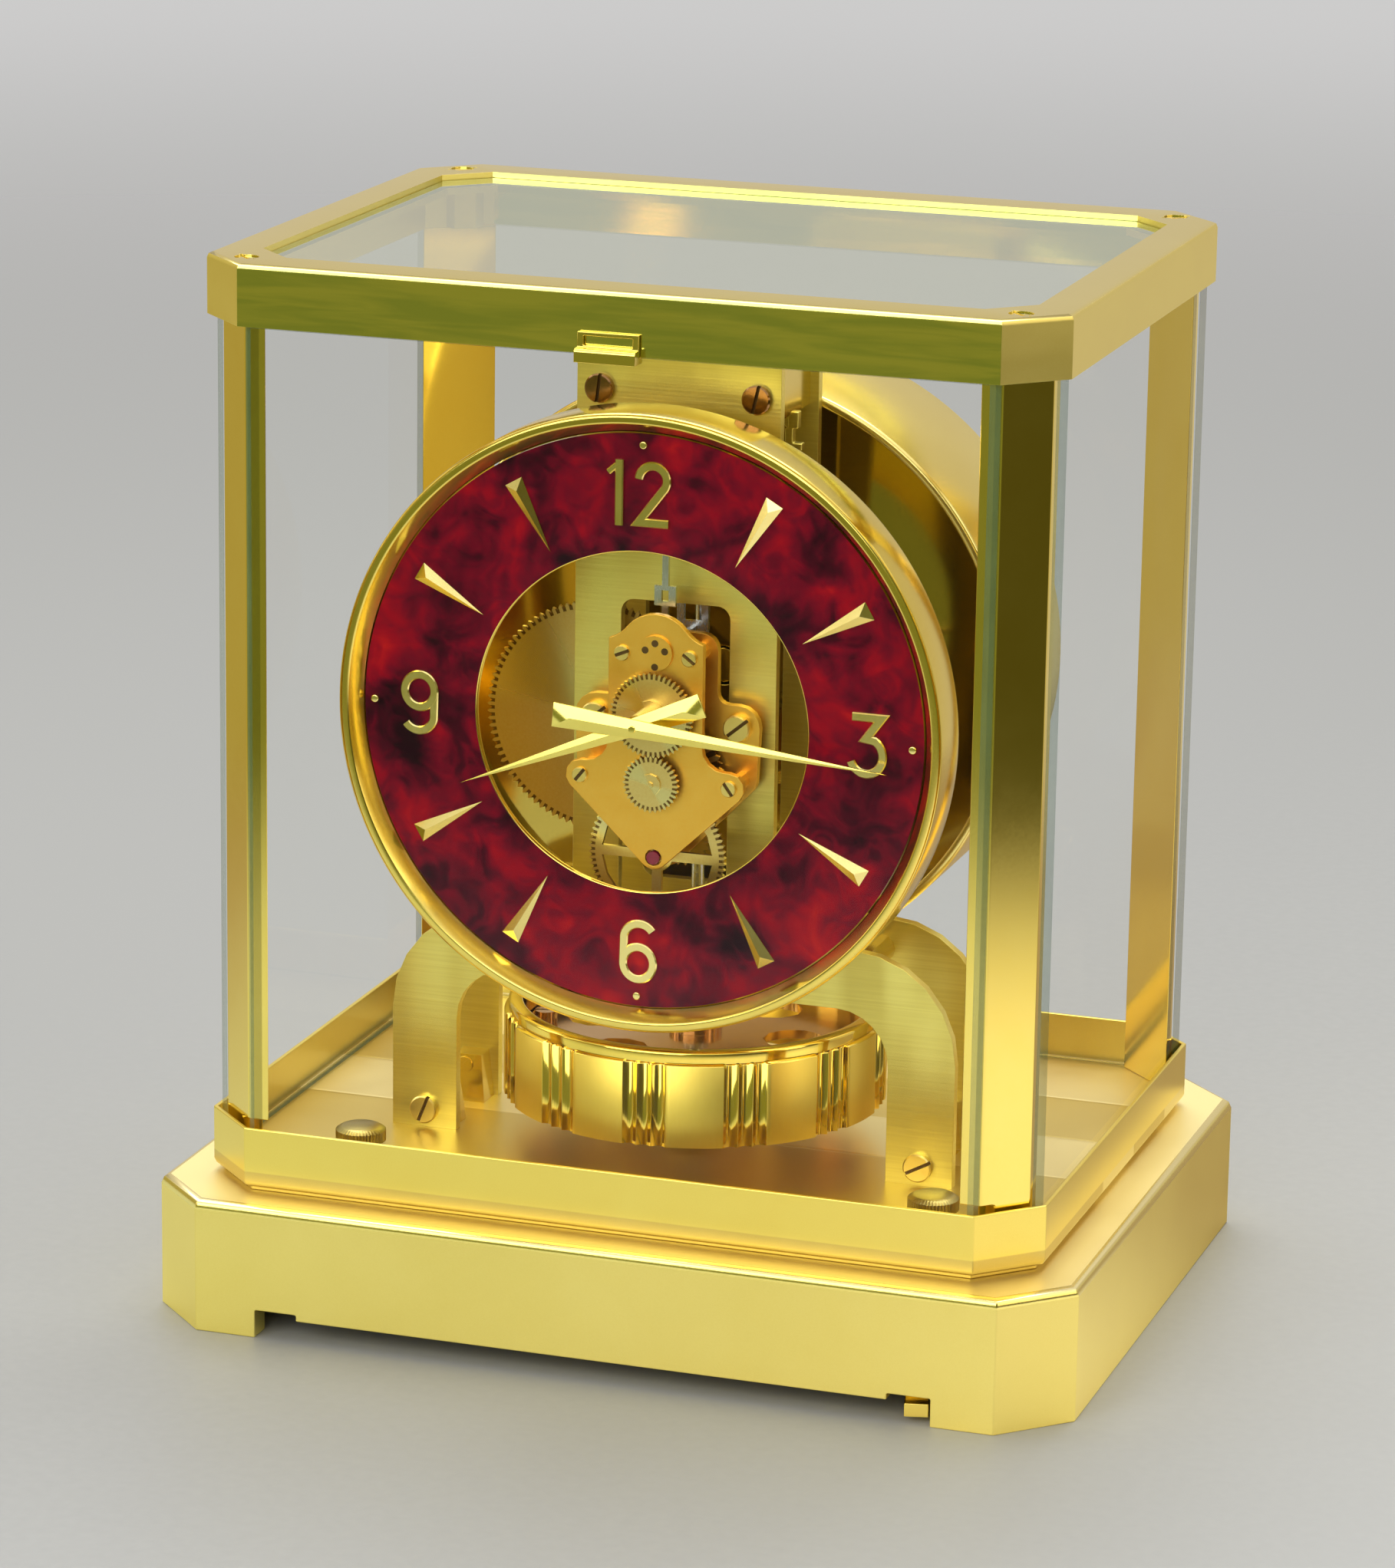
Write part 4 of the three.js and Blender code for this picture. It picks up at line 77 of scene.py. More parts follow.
camera = bpy.data.objects.new("camera", bpy.data.cameras.new("camera"))
scene.collection.objects.link(camera)
scene.camera = camera
camera.data.sensor_width = SENSOR
camera.data.lens = FOCAL_PIXELS / IMAGE_HEIGHT_PIXELS * SENSOR
camera.matrix_world = (
    Matrix.Translation(Vector(CAMERA_PLACE) * MM)
    @ Matrix.Rotation(math.radians(CAMERA_YAW), 4, "Z")
    @ Matrix.Rotation(math.radians(90 - CAMERA_PITCH), 4, "X")
    @ Matrix.Rotation(math.radians(CAMERA_ROLL), 4, "Z")
)


# Stage and light
# A pale floor with painted light, lighter to its right, that fades into a pale surround, and soft
# lamps overhead and to both sides.
# Mirror finishes see a bright table near the clock and a dim room round it.
PALE = (0.61, 0.605, 0.60, 1)
FLOOR_HALF = 4000
FLOOR_FADE = (500, 2300)
# Painted light: the floor is painted darker at the left and lighter at the right.
FLOOR_SHADED_LEFT = (0.365, 0.37, 0.365, 1)
FLOOR_LIT_RIGHT = (0.49, 0.497, 0.485, 1)
FLOOR_LEFT_TO_RIGHT = (-350, 450)  # where one tone starts to give way, and where it has gone
TABLE_FADE = (330, 620)
TABLE_LEFT = (0.56, 0.60, 0.52, 1)
TABLE_RIGHT = (1.0, 0.97, 0.90, 1)
TABLE_BACK = (0.30, 0.23, 0.15, 1)
TABLE_LEFT_TO_RIGHT = (-150, 250)
TABLE_NEAR_TO_BACK = (-50, 100)
ROOM_LEFT = (0.43, 0.37, 0.15, 1)
ROOM_FRONT = (0.21, 0.23, 0.07, 1)
ROOM_RIGHT = (0.08, 0.075, 0.02, 1)
ROOM_BACK = (0.62, 0.56, 0.45, 1)
ROOM_TOP = (1.12, 1.10, 1.06, 1)
ROOM_LEFT_TO_FRONT = (-0.9, -0.5)  # the same, by direction
ROOM_FRONT_TO_RIGHT = (0.2, 0.75)
ROOM_FRONT_TO_BACK = (-0.1, 0.5)
ROOM_SIDE_TO_TOP = (0.34, 0.7)
FILL = 0.45


class Socket:
    """A value in a node tree, which adds and multiplies as a number does."""

    def __init__(self, tree, plug):
        self.tree = tree
        self.plug = plug

    def maths(self, operation, *values):
        step = self.tree.nodes.new("ShaderNodeMath")
        step.operation = operation
        for socket, value in zip(step.inputs, values):
            feed(self.tree, socket, value)
        return Socket(self.tree, step.outputs[0])

    def __add__(self, other):
        return self.maths("ADD", self, other)

    def __radd__(self, other):
        return self.maths("ADD", other, self)

    def __sub__(self, other):
        return self.maths("SUBTRACT", self, other)

    def __rsub__(self, other):
        return self.maths("SUBTRACT", other, self)

    def __mul__(self, other):
        return self.maths("MULTIPLY", self, other)

    def __rmul__(self, other):
        return self.maths("MULTIPLY", other, self)

    def __pow__(self, other):
        return self.maths("POWER", self, other)

    def least(self, other):
        return self.maths("MINIMUM", self, other)

    def most(self, other):
        return self.maths("MAXIMUM", self, other)

    def absolute(self):
        return self.maths("ABSOLUTE", self)

    def sine(self):
        return self.maths("SINE", self)


def feed(tree, socket, value):
    if isinstance(value, Socket):
        tree.links.new(value.plug, socket)
    else:
        socket.default_value = value


class Tree:
    """A node tree under construction, with one way to make any node in it."""

    def __init__(self, tree):
        self.tree = tree

    def node(self, kind, settings=None, sockets=None, output=0):
        made = self.tree.nodes.new(kind)
        for key, value in (settings or {}).items():
            if key == "stops":
                ramp = made.color_ramp
                while len(ramp.elements) < len(value):
                    ramp.elements.new(1)
                for element, (position, colour) in zip(ramp.elements, value):
                    element.position = position
                    element.color = colour
            else:
                setattr(made, key, value)
        for key, value in (sockets or {}).items():
            feed(self.tree, made.inputs[key], value)
        return Socket(self.tree, made.outputs[output])

    def end(self, kind, value):
        """Leads a value to the first socket of the tree's output node."""
        self.tree.links.new(value.plug, self.tree.nodes.new(kind).inputs[0])


class Paint(Tree):
    """The tree of a new material, or of a new world."""

    def __init__(self, name, kept_in=bpy.data.materials):
        self.owner = kept_in.new(name)
        self.owner.use_nodes = True
        self.owner.node_tree.nodes.clear()
        super().__init__(self.owner.node_tree)

    def mix(self, share, first, second):
        sockets = {0: share, 6: first, 7: second}
        return self.node("ShaderNodeMix", {"data_type": "RGBA"}, sockets, 2)

    def between(self, value, low, high):
        """0 below low, 1 above high, and a smooth rise from one to the other."""
        settings = {"interpolation_type": "SMOOTHSTEP"}
        sockets = {"Value": value, "From Min": low, "From Max": high}
        return self.node("ShaderNodeMapRange", settings, sockets)

    def between_mm(self, value, low, high):
        return self.between(value, low * MM, high * MM)

    def place(self):
        return self.node("ShaderNodeTexCoord", output="Object")

    def part(self, axis, vector=None):
        """One part of a vector, or of the place on the piece."""
        return self.node("ShaderNodeSeparateXYZ", None, {0: vector or self.place()}, axis)

    def facing(self, axis):
        """How squarely the face looks along an axis."""
        return self.part(axis, self.node("ShaderNodeNewGeometry", output="True Normal"))

    def noise(self, sizes, detail=2.0, distortion=0.0):
        """Noise in cells of one size, or of three sizes along X, Y and Z."""
        sizes = sizes if isinstance(sizes, tuple) else (sizes, sizes, sizes)
        scale = [1 / (size * MM) for size in sizes]
        cells = self.node("ShaderNodeMapping", None, {"Vector": self.place(), "Scale": scale})
        sockets = {"Vector": cells, "Scale": 1.0, "Detail": detail, "Distortion": distortion}
        return self.node("ShaderNodeTexNoise", None, sockets)

    def drift(self, fine, sizes, detail=3.0):
        """A share that drifts from 0 to 1 over a piece, in fine grain and clouds of these sizes."""
        cloudy = self.noise(sizes, detail, 0.4)
        return ((fine * 0.4 + cloudy * 0.6 - 0.2) * 1.6).most(0.0).least(1.0)

    def surface(self, sockets):
        self.end("ShaderNodeOutputMaterial", self.node("ShaderNodeBsdfPrincipled", None, sockets))
        return self.owner

    def metallic(self, colour, roughness, height=None, depth=0.0):
        """A metal of this colour and roughness, whose height stands up to depth out of it."""
        sockets = {"Base Color": colour, "Metallic": 1.0, "Roughness": roughness}
        if height:
            bump = {"Strength": 1.0, "Distance": depth * MM, "Height": height}
            sockets["Normal"] = self.node("ShaderNodeBump", None, bump)
        return self.surface(sockets)

    def two_shaders(self, share, first, second):
        mixed = self.node("ShaderNodeMixShader", None, {0: share, 1: first, 2: second})
        self.end("ShaderNodeOutputMaterial", mixed)
        return self.owner


def floor_material():
    paint = Paint("pale_floor")
    length = {"operation": "LENGTH"}
    distance = paint.node("ShaderNodeVectorMath", length, {0: paint.place()}, "Value")
    glossy = paint.node("ShaderNodeLightPath", output="Is Glossy Ray")
    start, end = (
        plain * MM + glossy * ((table - plain) * MM) for plain, table in zip(FLOOR_FADE, TABLE_FADE)
    )
    gone = paint.between(distance, start, end)
    fleck = paint.noise(3, 4.0) * 0.2 - 0.1
    across, away = paint.part("X"), paint.part("Y")
    # painted light: the floor's tone rises from left to right
    right = paint.between_mm(across - away * 0.6 + fleck, *FLOOR_LEFT_TO_RIGHT)
    plain = paint.mix(right, FLOOR_SHADED_LEFT, FLOOR_LIT_RIGHT)
    table = paint.mix(paint.between_mm(across, *TABLE_LEFT_TO_RIGHT), TABLE_LEFT, TABLE_RIGHT)
    table = paint.mix(paint.between_mm(away, *TABLE_NEAR_TO_BACK), table, TABLE_BACK)
    colour = paint.mix(glossy, plain, table)
    cloth = paint.node("ShaderNodeBsdfPrincipled", None, {"Base Color": colour, "Roughness": 0.5})
    return paint.two_shaders(gone, cloth, paint.node("ShaderNodeBsdfTransparent"))


def surround():
    """The pale backdrop, seen by the camera, through glass and in metal, and the room's fill."""
    paint = Paint("surround", bpy.data.worlds)
    scene.world = paint.owner
    way = paint.node("ShaderNodeTexCoord", output="Generated")
    across, away, up = (paint.part(axis, way) for axis in "XYZ")
    mirrored = paint.mix(paint.between(across, *ROOM_FRONT_TO_RIGHT), ROOM_FRONT, ROOM_RIGHT)
    mirrored = paint.mix(paint.between(away, *ROOM_FRONT_TO_BACK), mirrored, ROOM_BACK)
    mirrored = paint.mix(paint.between(across, *ROOM_LEFT_TO_FRONT), ROOM_LEFT, mirrored)
    mirrored = paint.mix(paint.between(up, *ROOM_SIDE_TO_TOP), mirrored, ROOM_TOP)
    direct, glossy, passed = (
        paint.node("ShaderNodeLightPath", output=f"Is {kind} Ray")
        for kind in ("Camera", "Glossy", "Transmission")
    )
    light = paint.mix(glossy, (FILL, FILL, FILL, 1), mirrored)
    light = paint.mix(direct.most(passed), light, PALE)
    glow = paint.node("ShaderNodeBackground", None, {"Color": light, "Strength": 1.0})
    paint.end("ShaderNodeOutputWorld", glow)


def lamp(name, place, aim, width, height, watts, colour=(1, 1, 1)):
    """A soft lamp that looks at a height called aim, over the middle of the floor."""
    light = bpy.data.lights.new(name, "AREA")
    light.shape = "RECTANGLE"
    light.size = width * MM
    light.size_y = height * MM
    light.energy = watts
    light.color = colour
    hung = bpy.data.objects.new(name, light)
    scene.collection.objects.link(hung)
    hung.location = Vector(place) * MM
    way = Vector((0, 0, aim)) - Vector(place)
    hung.rotation_euler = way.to_track_quat("-Z", "Y").to_euler()


floor_mesh = bpy.data.meshes.new("floor")
floor_corners = [(x * FLOOR_HALF * MM, y * FLOOR_HALF * MM, 0)
                 for x, y in ((-1, -1), (1, -1), (1, 1), (-1, 1))]
floor_mesh.from_pydata(floor_corners, [], [(0, 1, 2, 3)])
floor = bpy.data.objects.new("floor", floor_mesh)
scene.collection.objects.link(floor)
floor_mesh.materials.append(floor_material())
floor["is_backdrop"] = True
surround()
lamp("overhead_lamp", (-100, 500, 1300), aim=80, width=1200, height=900, watts=14.0)
lamp("front_lamp", (-350, -1500, 850), aim=110, width=1500, height=1000, watts=11.5)
lamp("left_lamp", (-1300, -250, 700), aim=120, width=700, height=900, watts=3.0,
     colour=(1, 0.98, 0.95))
lamp("right_lamp", (1300, -300, 620), aim=120, width=500, height=900, watts=2.4,
     colour=(1, 0.88, 0.7))


# Base casting
# A heavy brass casting with cut corners, gilt and given a fine satin. Its front apron is relieved
# underneath, and it stands on what is left at the corners.
GILT_LIGHT = (0.95, 0.81, 0.27, 1)
GILT_DEEP = (0.89, 0.73, 0.20, 1)
# The paler tone is painted light on faces that look up, as if lit from above.
GILT_TOP_SHEEN = (0.97, 0.84, 0.42, 1)
SATIN_GRAIN = 0.28
# How far a face turns up before its painted light is full.
SIDE_TO_TOP_SHEEN = (0.5, 0.95)
SIDE_TO_EDGE = (0.1, 0.3)
EDGE_TO_TOP = (0.9, 0.99)
EDGE_BURNISH = 0.6
WELD_METRES = 1e-6
SOLID_WELD_METRES = 2e-6
FLAT_WITHIN = math.radians(0.6)


def metal(name, light, deep, smooth, rough, grain, depth, cloud=24, top_sheen=None):
    """A metal finish: two tones, its least and most roughness, and the size and depth of its grain.
    A paler tone, if given, is painted light on what faces up, above edges burnished by wear."""
    paint = Paint(name)
    fine = paint.noise(grain)
    share = paint.drift(fine, cloud)
    colour = paint.mix(share, deep, light)
    roughness = smooth + (rough - smooth) * share
    if top_sheen:
        level = paint.facing("Z")
        # painted light: faces that look up are painted the paler tone
        colour = paint.mix(paint.between(level, *SIDE_TO_TOP_SHEEN), colour, top_sheen)
        edge = paint.between(level, *SIDE_TO_EDGE) * (1.0 - paint.between(level, *EDGE_TO_TOP))
        roughness = roughness * (1.0 - edge * EDGE_BURNISH)
    return paint.metallic(colour, roughness, fine, depth)


satin_gilt = metal(
    "satin_gilt", GILT_LIGHT, GILT_DEEP, smooth=0.38, rough=0.48, grain=SATIN_GRAIN, depth=0.006,
    top_sheen=GILT_TOP_SHEEN,
)


def settle(made, body, slot, *nodes):
    """The piece rides on its body and stands for these solids, which it hides. slot is not used."""
    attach(made, body)
    if nodes:
        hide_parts(*nodes)
    return made


def new_piece(name, shape, *finishes, sharp=35):
    """An object from a shape in metres, with its doubles merged and its faces turned outwards."""
    bmesh.ops.remove_doubles(shape, verts=shape.verts, dist=WELD_METRES)
    bmesh.ops.recalc_face_normals(shape, faces=shape.faces)
    mesh = bpy.data.meshes.new(name)
    shape.to_mesh(mesh)
    shape.free()
    for finish in finishes:
        mesh.materials.append(finish)
    mesh.shade_smooth()
    mesh.set_sharp_from_angle(angle=math.radians(sharp))
    made = bpy.data.objects.new(name, mesh)
    scene.collection.objects.link(made)
    return made


def soften(made, width, segments=2, angle=25):
    """Rounds the edges of a piece and keeps its flats flat."""
    for edge in made.data.edges:
        edge.use_edge_sharp = False
    rounding = made.modifiers.new("rounding", "BEVEL")
    rounding.width = width * MM
    rounding.segments = segments
    rounding.limit_method = "ANGLE"
    rounding.angle_limit = math.radians(angle)
    rounding.miter_outer = "MITER_ARC"
    made.modifiers.new("flats", "WEIGHTED_NORMAL").keep_sharp = True
    return made


def traced(node, recut=False):
    """A solid's shape, its slivers joined into whole faces, and large faces cut afresh if asked."""
    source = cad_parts[node].data
    shape = bmesh.new()
    corners = [shape.verts.new(vertex.co) for vertex in source.vertices]
    for polygon in source.polygons:
        shape.faces.new([corners[index] for index in polygon.vertices])
    bmesh.ops.remove_doubles(shape, verts=shape.verts, dist=SOLID_WELD_METRES)
    bmesh.ops.dissolve_limit(
        shape, angle_limit=FLAT_WITHIN, verts=shape.verts, edges=shape.edges,
    )
    if recut:
        large = [face for face in shape.faces if len(face.verts) > 4]
        bmesh.ops.triangulate(shape, faces=large)
    return shape


def dressed(name, node, finish, body, slot, width, segments=2, angle=25, recut=False):
    """A piece in the place of a solid and of its shape, with edges rounded to a width."""
    made = soften(new_piece(name, traced(node, recut), finish), width, segments, angle)
    return settle(made, body, slot, node)


dressed("base_shell", "base_casting", satin_gilt, "case", "satin_gilt", 0.6, segments=3)


# Plinth tray
# A pressed tray with a thin upstanding rim, screwed to the base over a narrow dark gap. The panes
# and the posts stand in it.
TRAY_WALL_LIGHT = (0.97, 0.80, 0.20, 1)
TRAY_WALL_DEEP = (0.91, 0.70, 0.14, 1)
# The floor's two tones give painted light and shade, lighter and darker in turn between joints.
TRAY_FLOOR_LIGHT = (0.96, 0.82, 0.40, 1)
TRAY_FLOOR_DEEP = (0.68, 0.51, 0.12, 1)
# Painted shade: the foot of the wall is dark brown, as the gap to the base is in shade.
TRAY_GAP_SHADE = (0.24, 0.12, 0.03, 1)
GAP_SHADE_TO_WALL = (31.25, 31.55)
FLOOR_TO_WALL = (34.5, 34.9)
TRAY_JOINTS = (-13, 14, 42)
JOINT_DEPTH = 0.04


def tray_finish():
    """Satin walls with painted shade on the foot, from the gap under it, and a floor with joints
    from side to side, painted lighter and darker in turn between them.
    """
    paint = Paint("satin_tray")
    fine = paint.noise(0.3)
    share = paint.drift(fine, 24)
    height = paint.part("Z")
    low = 1.0 - paint.between_mm(height, *FLOOR_TO_WALL)
    gaps = [paint.part("Y") - joint * MM for joint in TRAY_JOINTS]
    behind = [paint.between_mm(gap, -0.3, 0.3) for gap in gaps]
    # painted light and shade: 0 and 1 in turn from one joint to the next
    strips = ((behind[0] - behind[1]).absolute() - behind[2]).absolute()
    near = [1.0 - paint.between_mm(gap.absolute(), 0.2, 0.9) for gap in gaps]
    wall = paint.mix(share, TRAY_WALL_DEEP, TRAY_WALL_LIGHT)
    # painted shade of the gap, on the foot of the wall
    wall = paint.mix(paint.between_mm(height, *GAP_SHADE_TO_WALL), TRAY_GAP_SHADE, wall)
    band_light_share = (share * 0.3 + strips * 0.7).least(1.0)
    ground = paint.mix(band_light_share, TRAY_FLOOR_DEEP, TRAY_FLOOR_LIGHT)
    rise = fine * 0.1 - (near[0] + near[1] + near[2]) * low
    roughness = 0.26 + 0.1 * share + 0.06 * low
    return paint.metallic(paint.mix(low, wall, ground), roughness, rise, JOINT_DEPTH)


dressed("tray", "plinth_tray", tray_finish(), "case", "satin_gilt", 0.3)


# Corner posts and panes
# Polished strips fill the cut corners between panes of clear glass, whose mitred ends show green.
# The front pane leans out on its foot and is held by a folded catch.
GLASS_CLEAR = (0.998, 1.0, 0.998, 1)
GLASS_SHINE = (1, 1, 1, 1)
GLASS_SHINE_TOP = (0.84, 0.94, 1.0, 1)
GLASS_GREEN = (0.02, 0.10, 0.05, 1)
GLASS_PALE = (0.16, 0.30, 0.16, 1)
GLASS_IOR = 1.45
X, Y, Z = range(3)

polished_gilt = metal(
    "polished_gilt", (0.95, 0.76, 0.20, 1), (0.91, 0.70, 0.15, 1),
    smooth=0.07, rough=0.13, grain=0.7, depth=0.0004, cloud=12,
)


def glass_face(name, shine_least, shine_more, tint):
    """Clear glass that shines on its outer side, by a share that its smears vary."""
    paint = Paint(name)
    clear = paint.node("ShaderNodeBsdfTransparent", None, {"Color": GLASS_CLEAR})
    shine = paint.node("ShaderNodeBsdfGlossy", None, {"Color": tint, "Roughness": 0.02})
    edge = paint.node("ShaderNodeFresnel", None, {"IOR": GLASS_IOR})
    inside = paint.node("ShaderNodeNewGeometry", output="Backfacing")
    smear = paint.noise((30, 30, 60))
    share = (edge * (1.0 - inside) * (shine_least + smear * shine_more)).least(0.75)
    return paint.two_shaders(share, clear, shine)


def glass_edge():
    """The green of the glass where it is seen end on, in streaks along its height."""
    paint = Paint("glass_edge")
    colour = paint.mix(paint.noise((4, 4, 18)), GLASS_GREEN, GLASS_PALE)
    return paint.surface({"Base Color": colour, "Roughness": 0.2, "Alpha": 0.45})


clear_glass = glass_face("clear_glass", 0.14, 0.24, GLASS_SHINE)
top_glass = glass_face("top_glass", 2.0, 1.0, GLASS_SHINE_TOP)
green_edge = glass_edge()


def pane(name, node, body, flat, face=clear_glass):
    """A pane whose two broad faces are clear and whose edges are green. flat is its axis."""
    made = new_piece(name, traced(node), face, green_edge)
    for polygon in made.data.polygons:
        polygon.material_index = 0 if abs(polygon.normal[flat]) > 0.99 else 1
    soften(made, 0.15, segments=1, angle=60)
    return settle(made, body, "glass", node)


for side in ("front_left", "front_right", "back_left", "back_right"):
    dressed(f"post_strip_{side}", f"post_{side}", polished_gilt, "case", "polished_gilt", 0.3)
pane("pane_left", "left_pane", "case", X)
pane("pane_right", "right_pane", "case", X)
pane("pane_back", "back_pane", "case", Y)
pane("pane_front", "front_pane", "front_door", Y)
pane("pane_top", "top_pane", "case", Z, top_glass)
dressed("catch_strip", "pane_catch", polished_gilt, "front_door", "polished_gilt", 0.15)


# Top frame
# A cast frame with cut corners and rounded edges, satin like the base with its front rail polished.
# Four slotted screws hold it to the posts.
# The front rail's colour is painted reflection in faint streaks, dark olive and pale.
REFLECTION_STREAK_DEEP = (0.72, 0.71, 0.20, 1)
REFLECTION_STREAK_LIGHT = (0.98, 0.86, 0.24, 1)
ASKEW_TO_SQUARE = (0.86, 0.94)


def rail_finish():
    """Satin all over, polished on the front rail and on top, with painted reflection in faint
    streaks on the front.
    """
    paint = Paint("rail_gilt")
    fine = paint.noise(SATIN_GRAIN)
    share = paint.drift(fine, (22, 22, 10))
    front = paint.between(0.0 - paint.facing("Y"), *ASKEW_TO_SQUARE)
    polish = front.most(paint.between(paint.facing("Z"), *ASKEW_TO_SQUARE))
    # painted reflection in long level streaks on the front
    streak = paint.between(paint.noise((38, 38, 3.2), 4.0, 0.6), 0.36, 0.64)
    reflected_streaks = paint.mix(streak, REFLECTION_STREAK_DEEP, REFLECTION_STREAK_LIGHT)
    colour = paint.mix(front, paint.mix(share, GILT_DEEP, GILT_LIGHT), reflected_streaks)
    satin = 0.32 + 0.09 * share
    bright = 0.07 + 0.08 * share
    return paint.metallic(colour, satin + (bright - satin) * polish, fine * (1 - polish), 0.003)


dressed("rail_frame", "top_frame", rail_finish(), "case", "satin_gilt", 0.3, recut=True)


# Frame plates
# Two like plates of brass, brushed level on their faces, with two legs, an arch and a tall column.
# Tapered blocks, pillars and the suspension block hold them apart.
# The two tones hold the fine grain of the brushing and upright stripes of painted sheen.
BRUSHED_SHEEN_LIGHT = (1.0, 0.89, 0.26, 1)
BRUSHED_SHEEN_DEEP = (0.80, 0.68, 0.17, 1)


def level_finish():
    """Brass drawn from side to side with an abrasive, its tone in fine grain and in upright
    stripes of painted sheen.
    """
    paint = Paint("level_brushed")
    fine = paint.noise((40, 0.5, 0.5), 3.0)
    # painted sheen in broad upright stripes
    sheen_bands = paint.between(paint.noise((13, 13, 90), 1.0), 0.38, 0.62)
    tone = (sheen_bands * 0.7 + (fine - 0.5) * 1.1 + 0.15).most(0.0).least(1.0)
    colour = paint.mix(tone, BRUSHED_SHEEN_DEEP, BRUSHED_SHEEN_LIGHT)
    return paint.metallic(colour, 0.44 - 0.12 * tone, fine, 0.03)


level_brushed = level_finish()
gilt_turned = metal(
    "gilt_turned", (0.95, 0.76, 0.20, 1), (0.89, 0.67, 0.14, 1),
    smooth=0.12, rough=0.2, grain=0.5, depth=0.001, cloud=9,
)
dressed("plate_front", "front_frame_plate", level_brushed, "case", "satin_gilt", 0.25)
dressed("plate_rear", "rear_frame_plate", level_brushed, "case", "satin_gilt", 0.25)
for side in ("left", "right"):
    for end in ("front", "rear"):
        name, node = f"foot_{end}_{side}", f"{end}_foot_block_{side}"
        dressed(name, node, gilt_turned, "case", "polished_gilt", 0.25)
dressed("suspension_head", "suspension_block", gilt_turned, "case", "polished_gilt", 0.25)


# Suspension hook
# A strip of brass, bent to a hook and fastened under the right end of the suspension block. It is
# brushed like the frame plates.
BLOCK_TALL = 11
HOOK_Y = (-13.2, -10.8)
HOOK_OUTLINE = (
    (19.5, 0.3), (21.9, 0.3), (21.9, -3.4), (20.7, -3.4), (20.7, -6.6), (22.8, -6.6),
    (22.8, -8.2), (18.9, -8.2), (18.9, -3.4), (19.5, -3.4),
)
block_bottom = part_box("suspension_block")[1].z / MM - BLOCK_TALL
hook = bmesh.new()
hook_ends = [
    [hook.verts.new(Vector((x, y, block_bottom + drop)) * MM) for x, drop in HOOK_OUTLINE]
    for y in HOOK_Y
]
for i in range(len(HOOK_OUTLINE)):
    hook.faces.new((hook_ends[0][i - 1], hook_ends[0][i], hook_ends[1][i], hook_ends[1][i - 1]))
for end in hook_ends:
    hook.faces.new(end)
settle(soften(new_piece("block_hook", hook, level_brushed), 0.3), "case", "polished_gilt")


# Screws
# Turned screws with flat heads, a small chamfer and a sawn slot. They hold the frame plates to
# their foot blocks and, browned, to the suspension block.
TURN = math.tau
SCREW_SIDES = 48
SCREW_SLOT = 0.75
SLOT_FLOOR_SHARE = 0.4
CHAMFER_SHARE = 0.1
FRAME_HEAD = {"radius": 3.2, "height": 1.6}


def ring_of_points(radius, sides, keep):
    """Corners of a circle, cut straight at a distance from its middle where keep is given."""
    if keep is None:
        angles = [TURN * i / sides for i in range(sides)]
    else:
        low = math.asin(keep / radius)
        angles = [low + (math.pi - 2 * low) * i / (sides // 2) for i in range(sides // 2 + 1)]
    return [(radius * math.cos(angle), radius * math.sin(angle)) for angle in angles]


def screw_head(radius, height, slot_turn, head_place):
    """A slotted head that stands up along -Y from head_place, as a shape in metres."""
    shape = bmesh.new()
    slot_floor = height * SLOT_FLOOR_SHARE
    chamfer = radius * CHAMFER_SHARE
    crown = [(radius, slot_floor), (radius, height - chamfer), (radius - chamfer, height)]
    parts = [(None, slot_turn, [(radius, 0), (radius, slot_floor)])]
    parts += [(SCREW_SLOT / 2, slot_turn + flip, crown) for flip in (0.0, math.pi)]
    for keep, turned, layers in parts:
        rings = []
        for size, up in layers:
            ring = []
            for across, along in ring_of_points(size, SCREW_SIDES, keep):
                x = across * math.cos(turned) - along * math.sin(turned)
                z = across * math.sin(turned) + along * math.cos(turned)
                point = Vector((head_place[0] + x, head_place[1] - up, head_place[2] + z))
                ring.append(shape.verts.new(point * MM))
            rings.append(ring)
        for lower, upper in zip(rings, rings[1:]):
            for i in range(len(lower)):
                j = (i + 1) % len(lower)
                shape.faces.new((lower[i], lower[j], upper[j], upper[i]))
        shape.faces.new(list(reversed(rings[0])))
        # the slot's floor takes the second finish, its painted shade
        shape.faces.new(rings[-1]).material_index = 1 if keep is None else 0
    return shape


# Painted shade: the floors of the slots, and of the holes in the pallet bush, are dark brown.
slot_brown = metal(
    "slot_brown", (0.20, 0.12, 0.05, 1), (0.10, 0.06, 0.03, 1),
    smooth=0.4, rough=0.5, grain=0.5, depth=0.001, cloud=4,
)
screw_gilt = metal(
    "screw_gilt", (0.98, 0.80, 0.28, 1), (0.92, 0.72, 0.20, 1),
    smooth=0.30, rough=0.38, grain=0.4, depth=0.002, cloud=5,
)
screw_brown = metal(
    "screw_brown", (0.44, 0.24, 0.10, 1), (0.24, 0.12, 0.05, 1),
    smooth=0.10, rough=0.18, grain=0.5, depth=0.001, cloud=4,
)


def screw(name, node, slot_turn, radius, height, finish=screw_gilt):
    """A detailed head in the place of a plain screw, whose head faces the front."""
    low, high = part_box(node)
    middle = ((low.x + high.x) / 2 / MM, (low.y / MM) + height, (low.z + high.z) / 2 / MM)
    shape = screw_head(radius, height, slot_turn, middle)
    made = new_piece(name, shape, finish, slot_brown, sharp=30)
    return settle(made, "case", "polished_gilt", node)


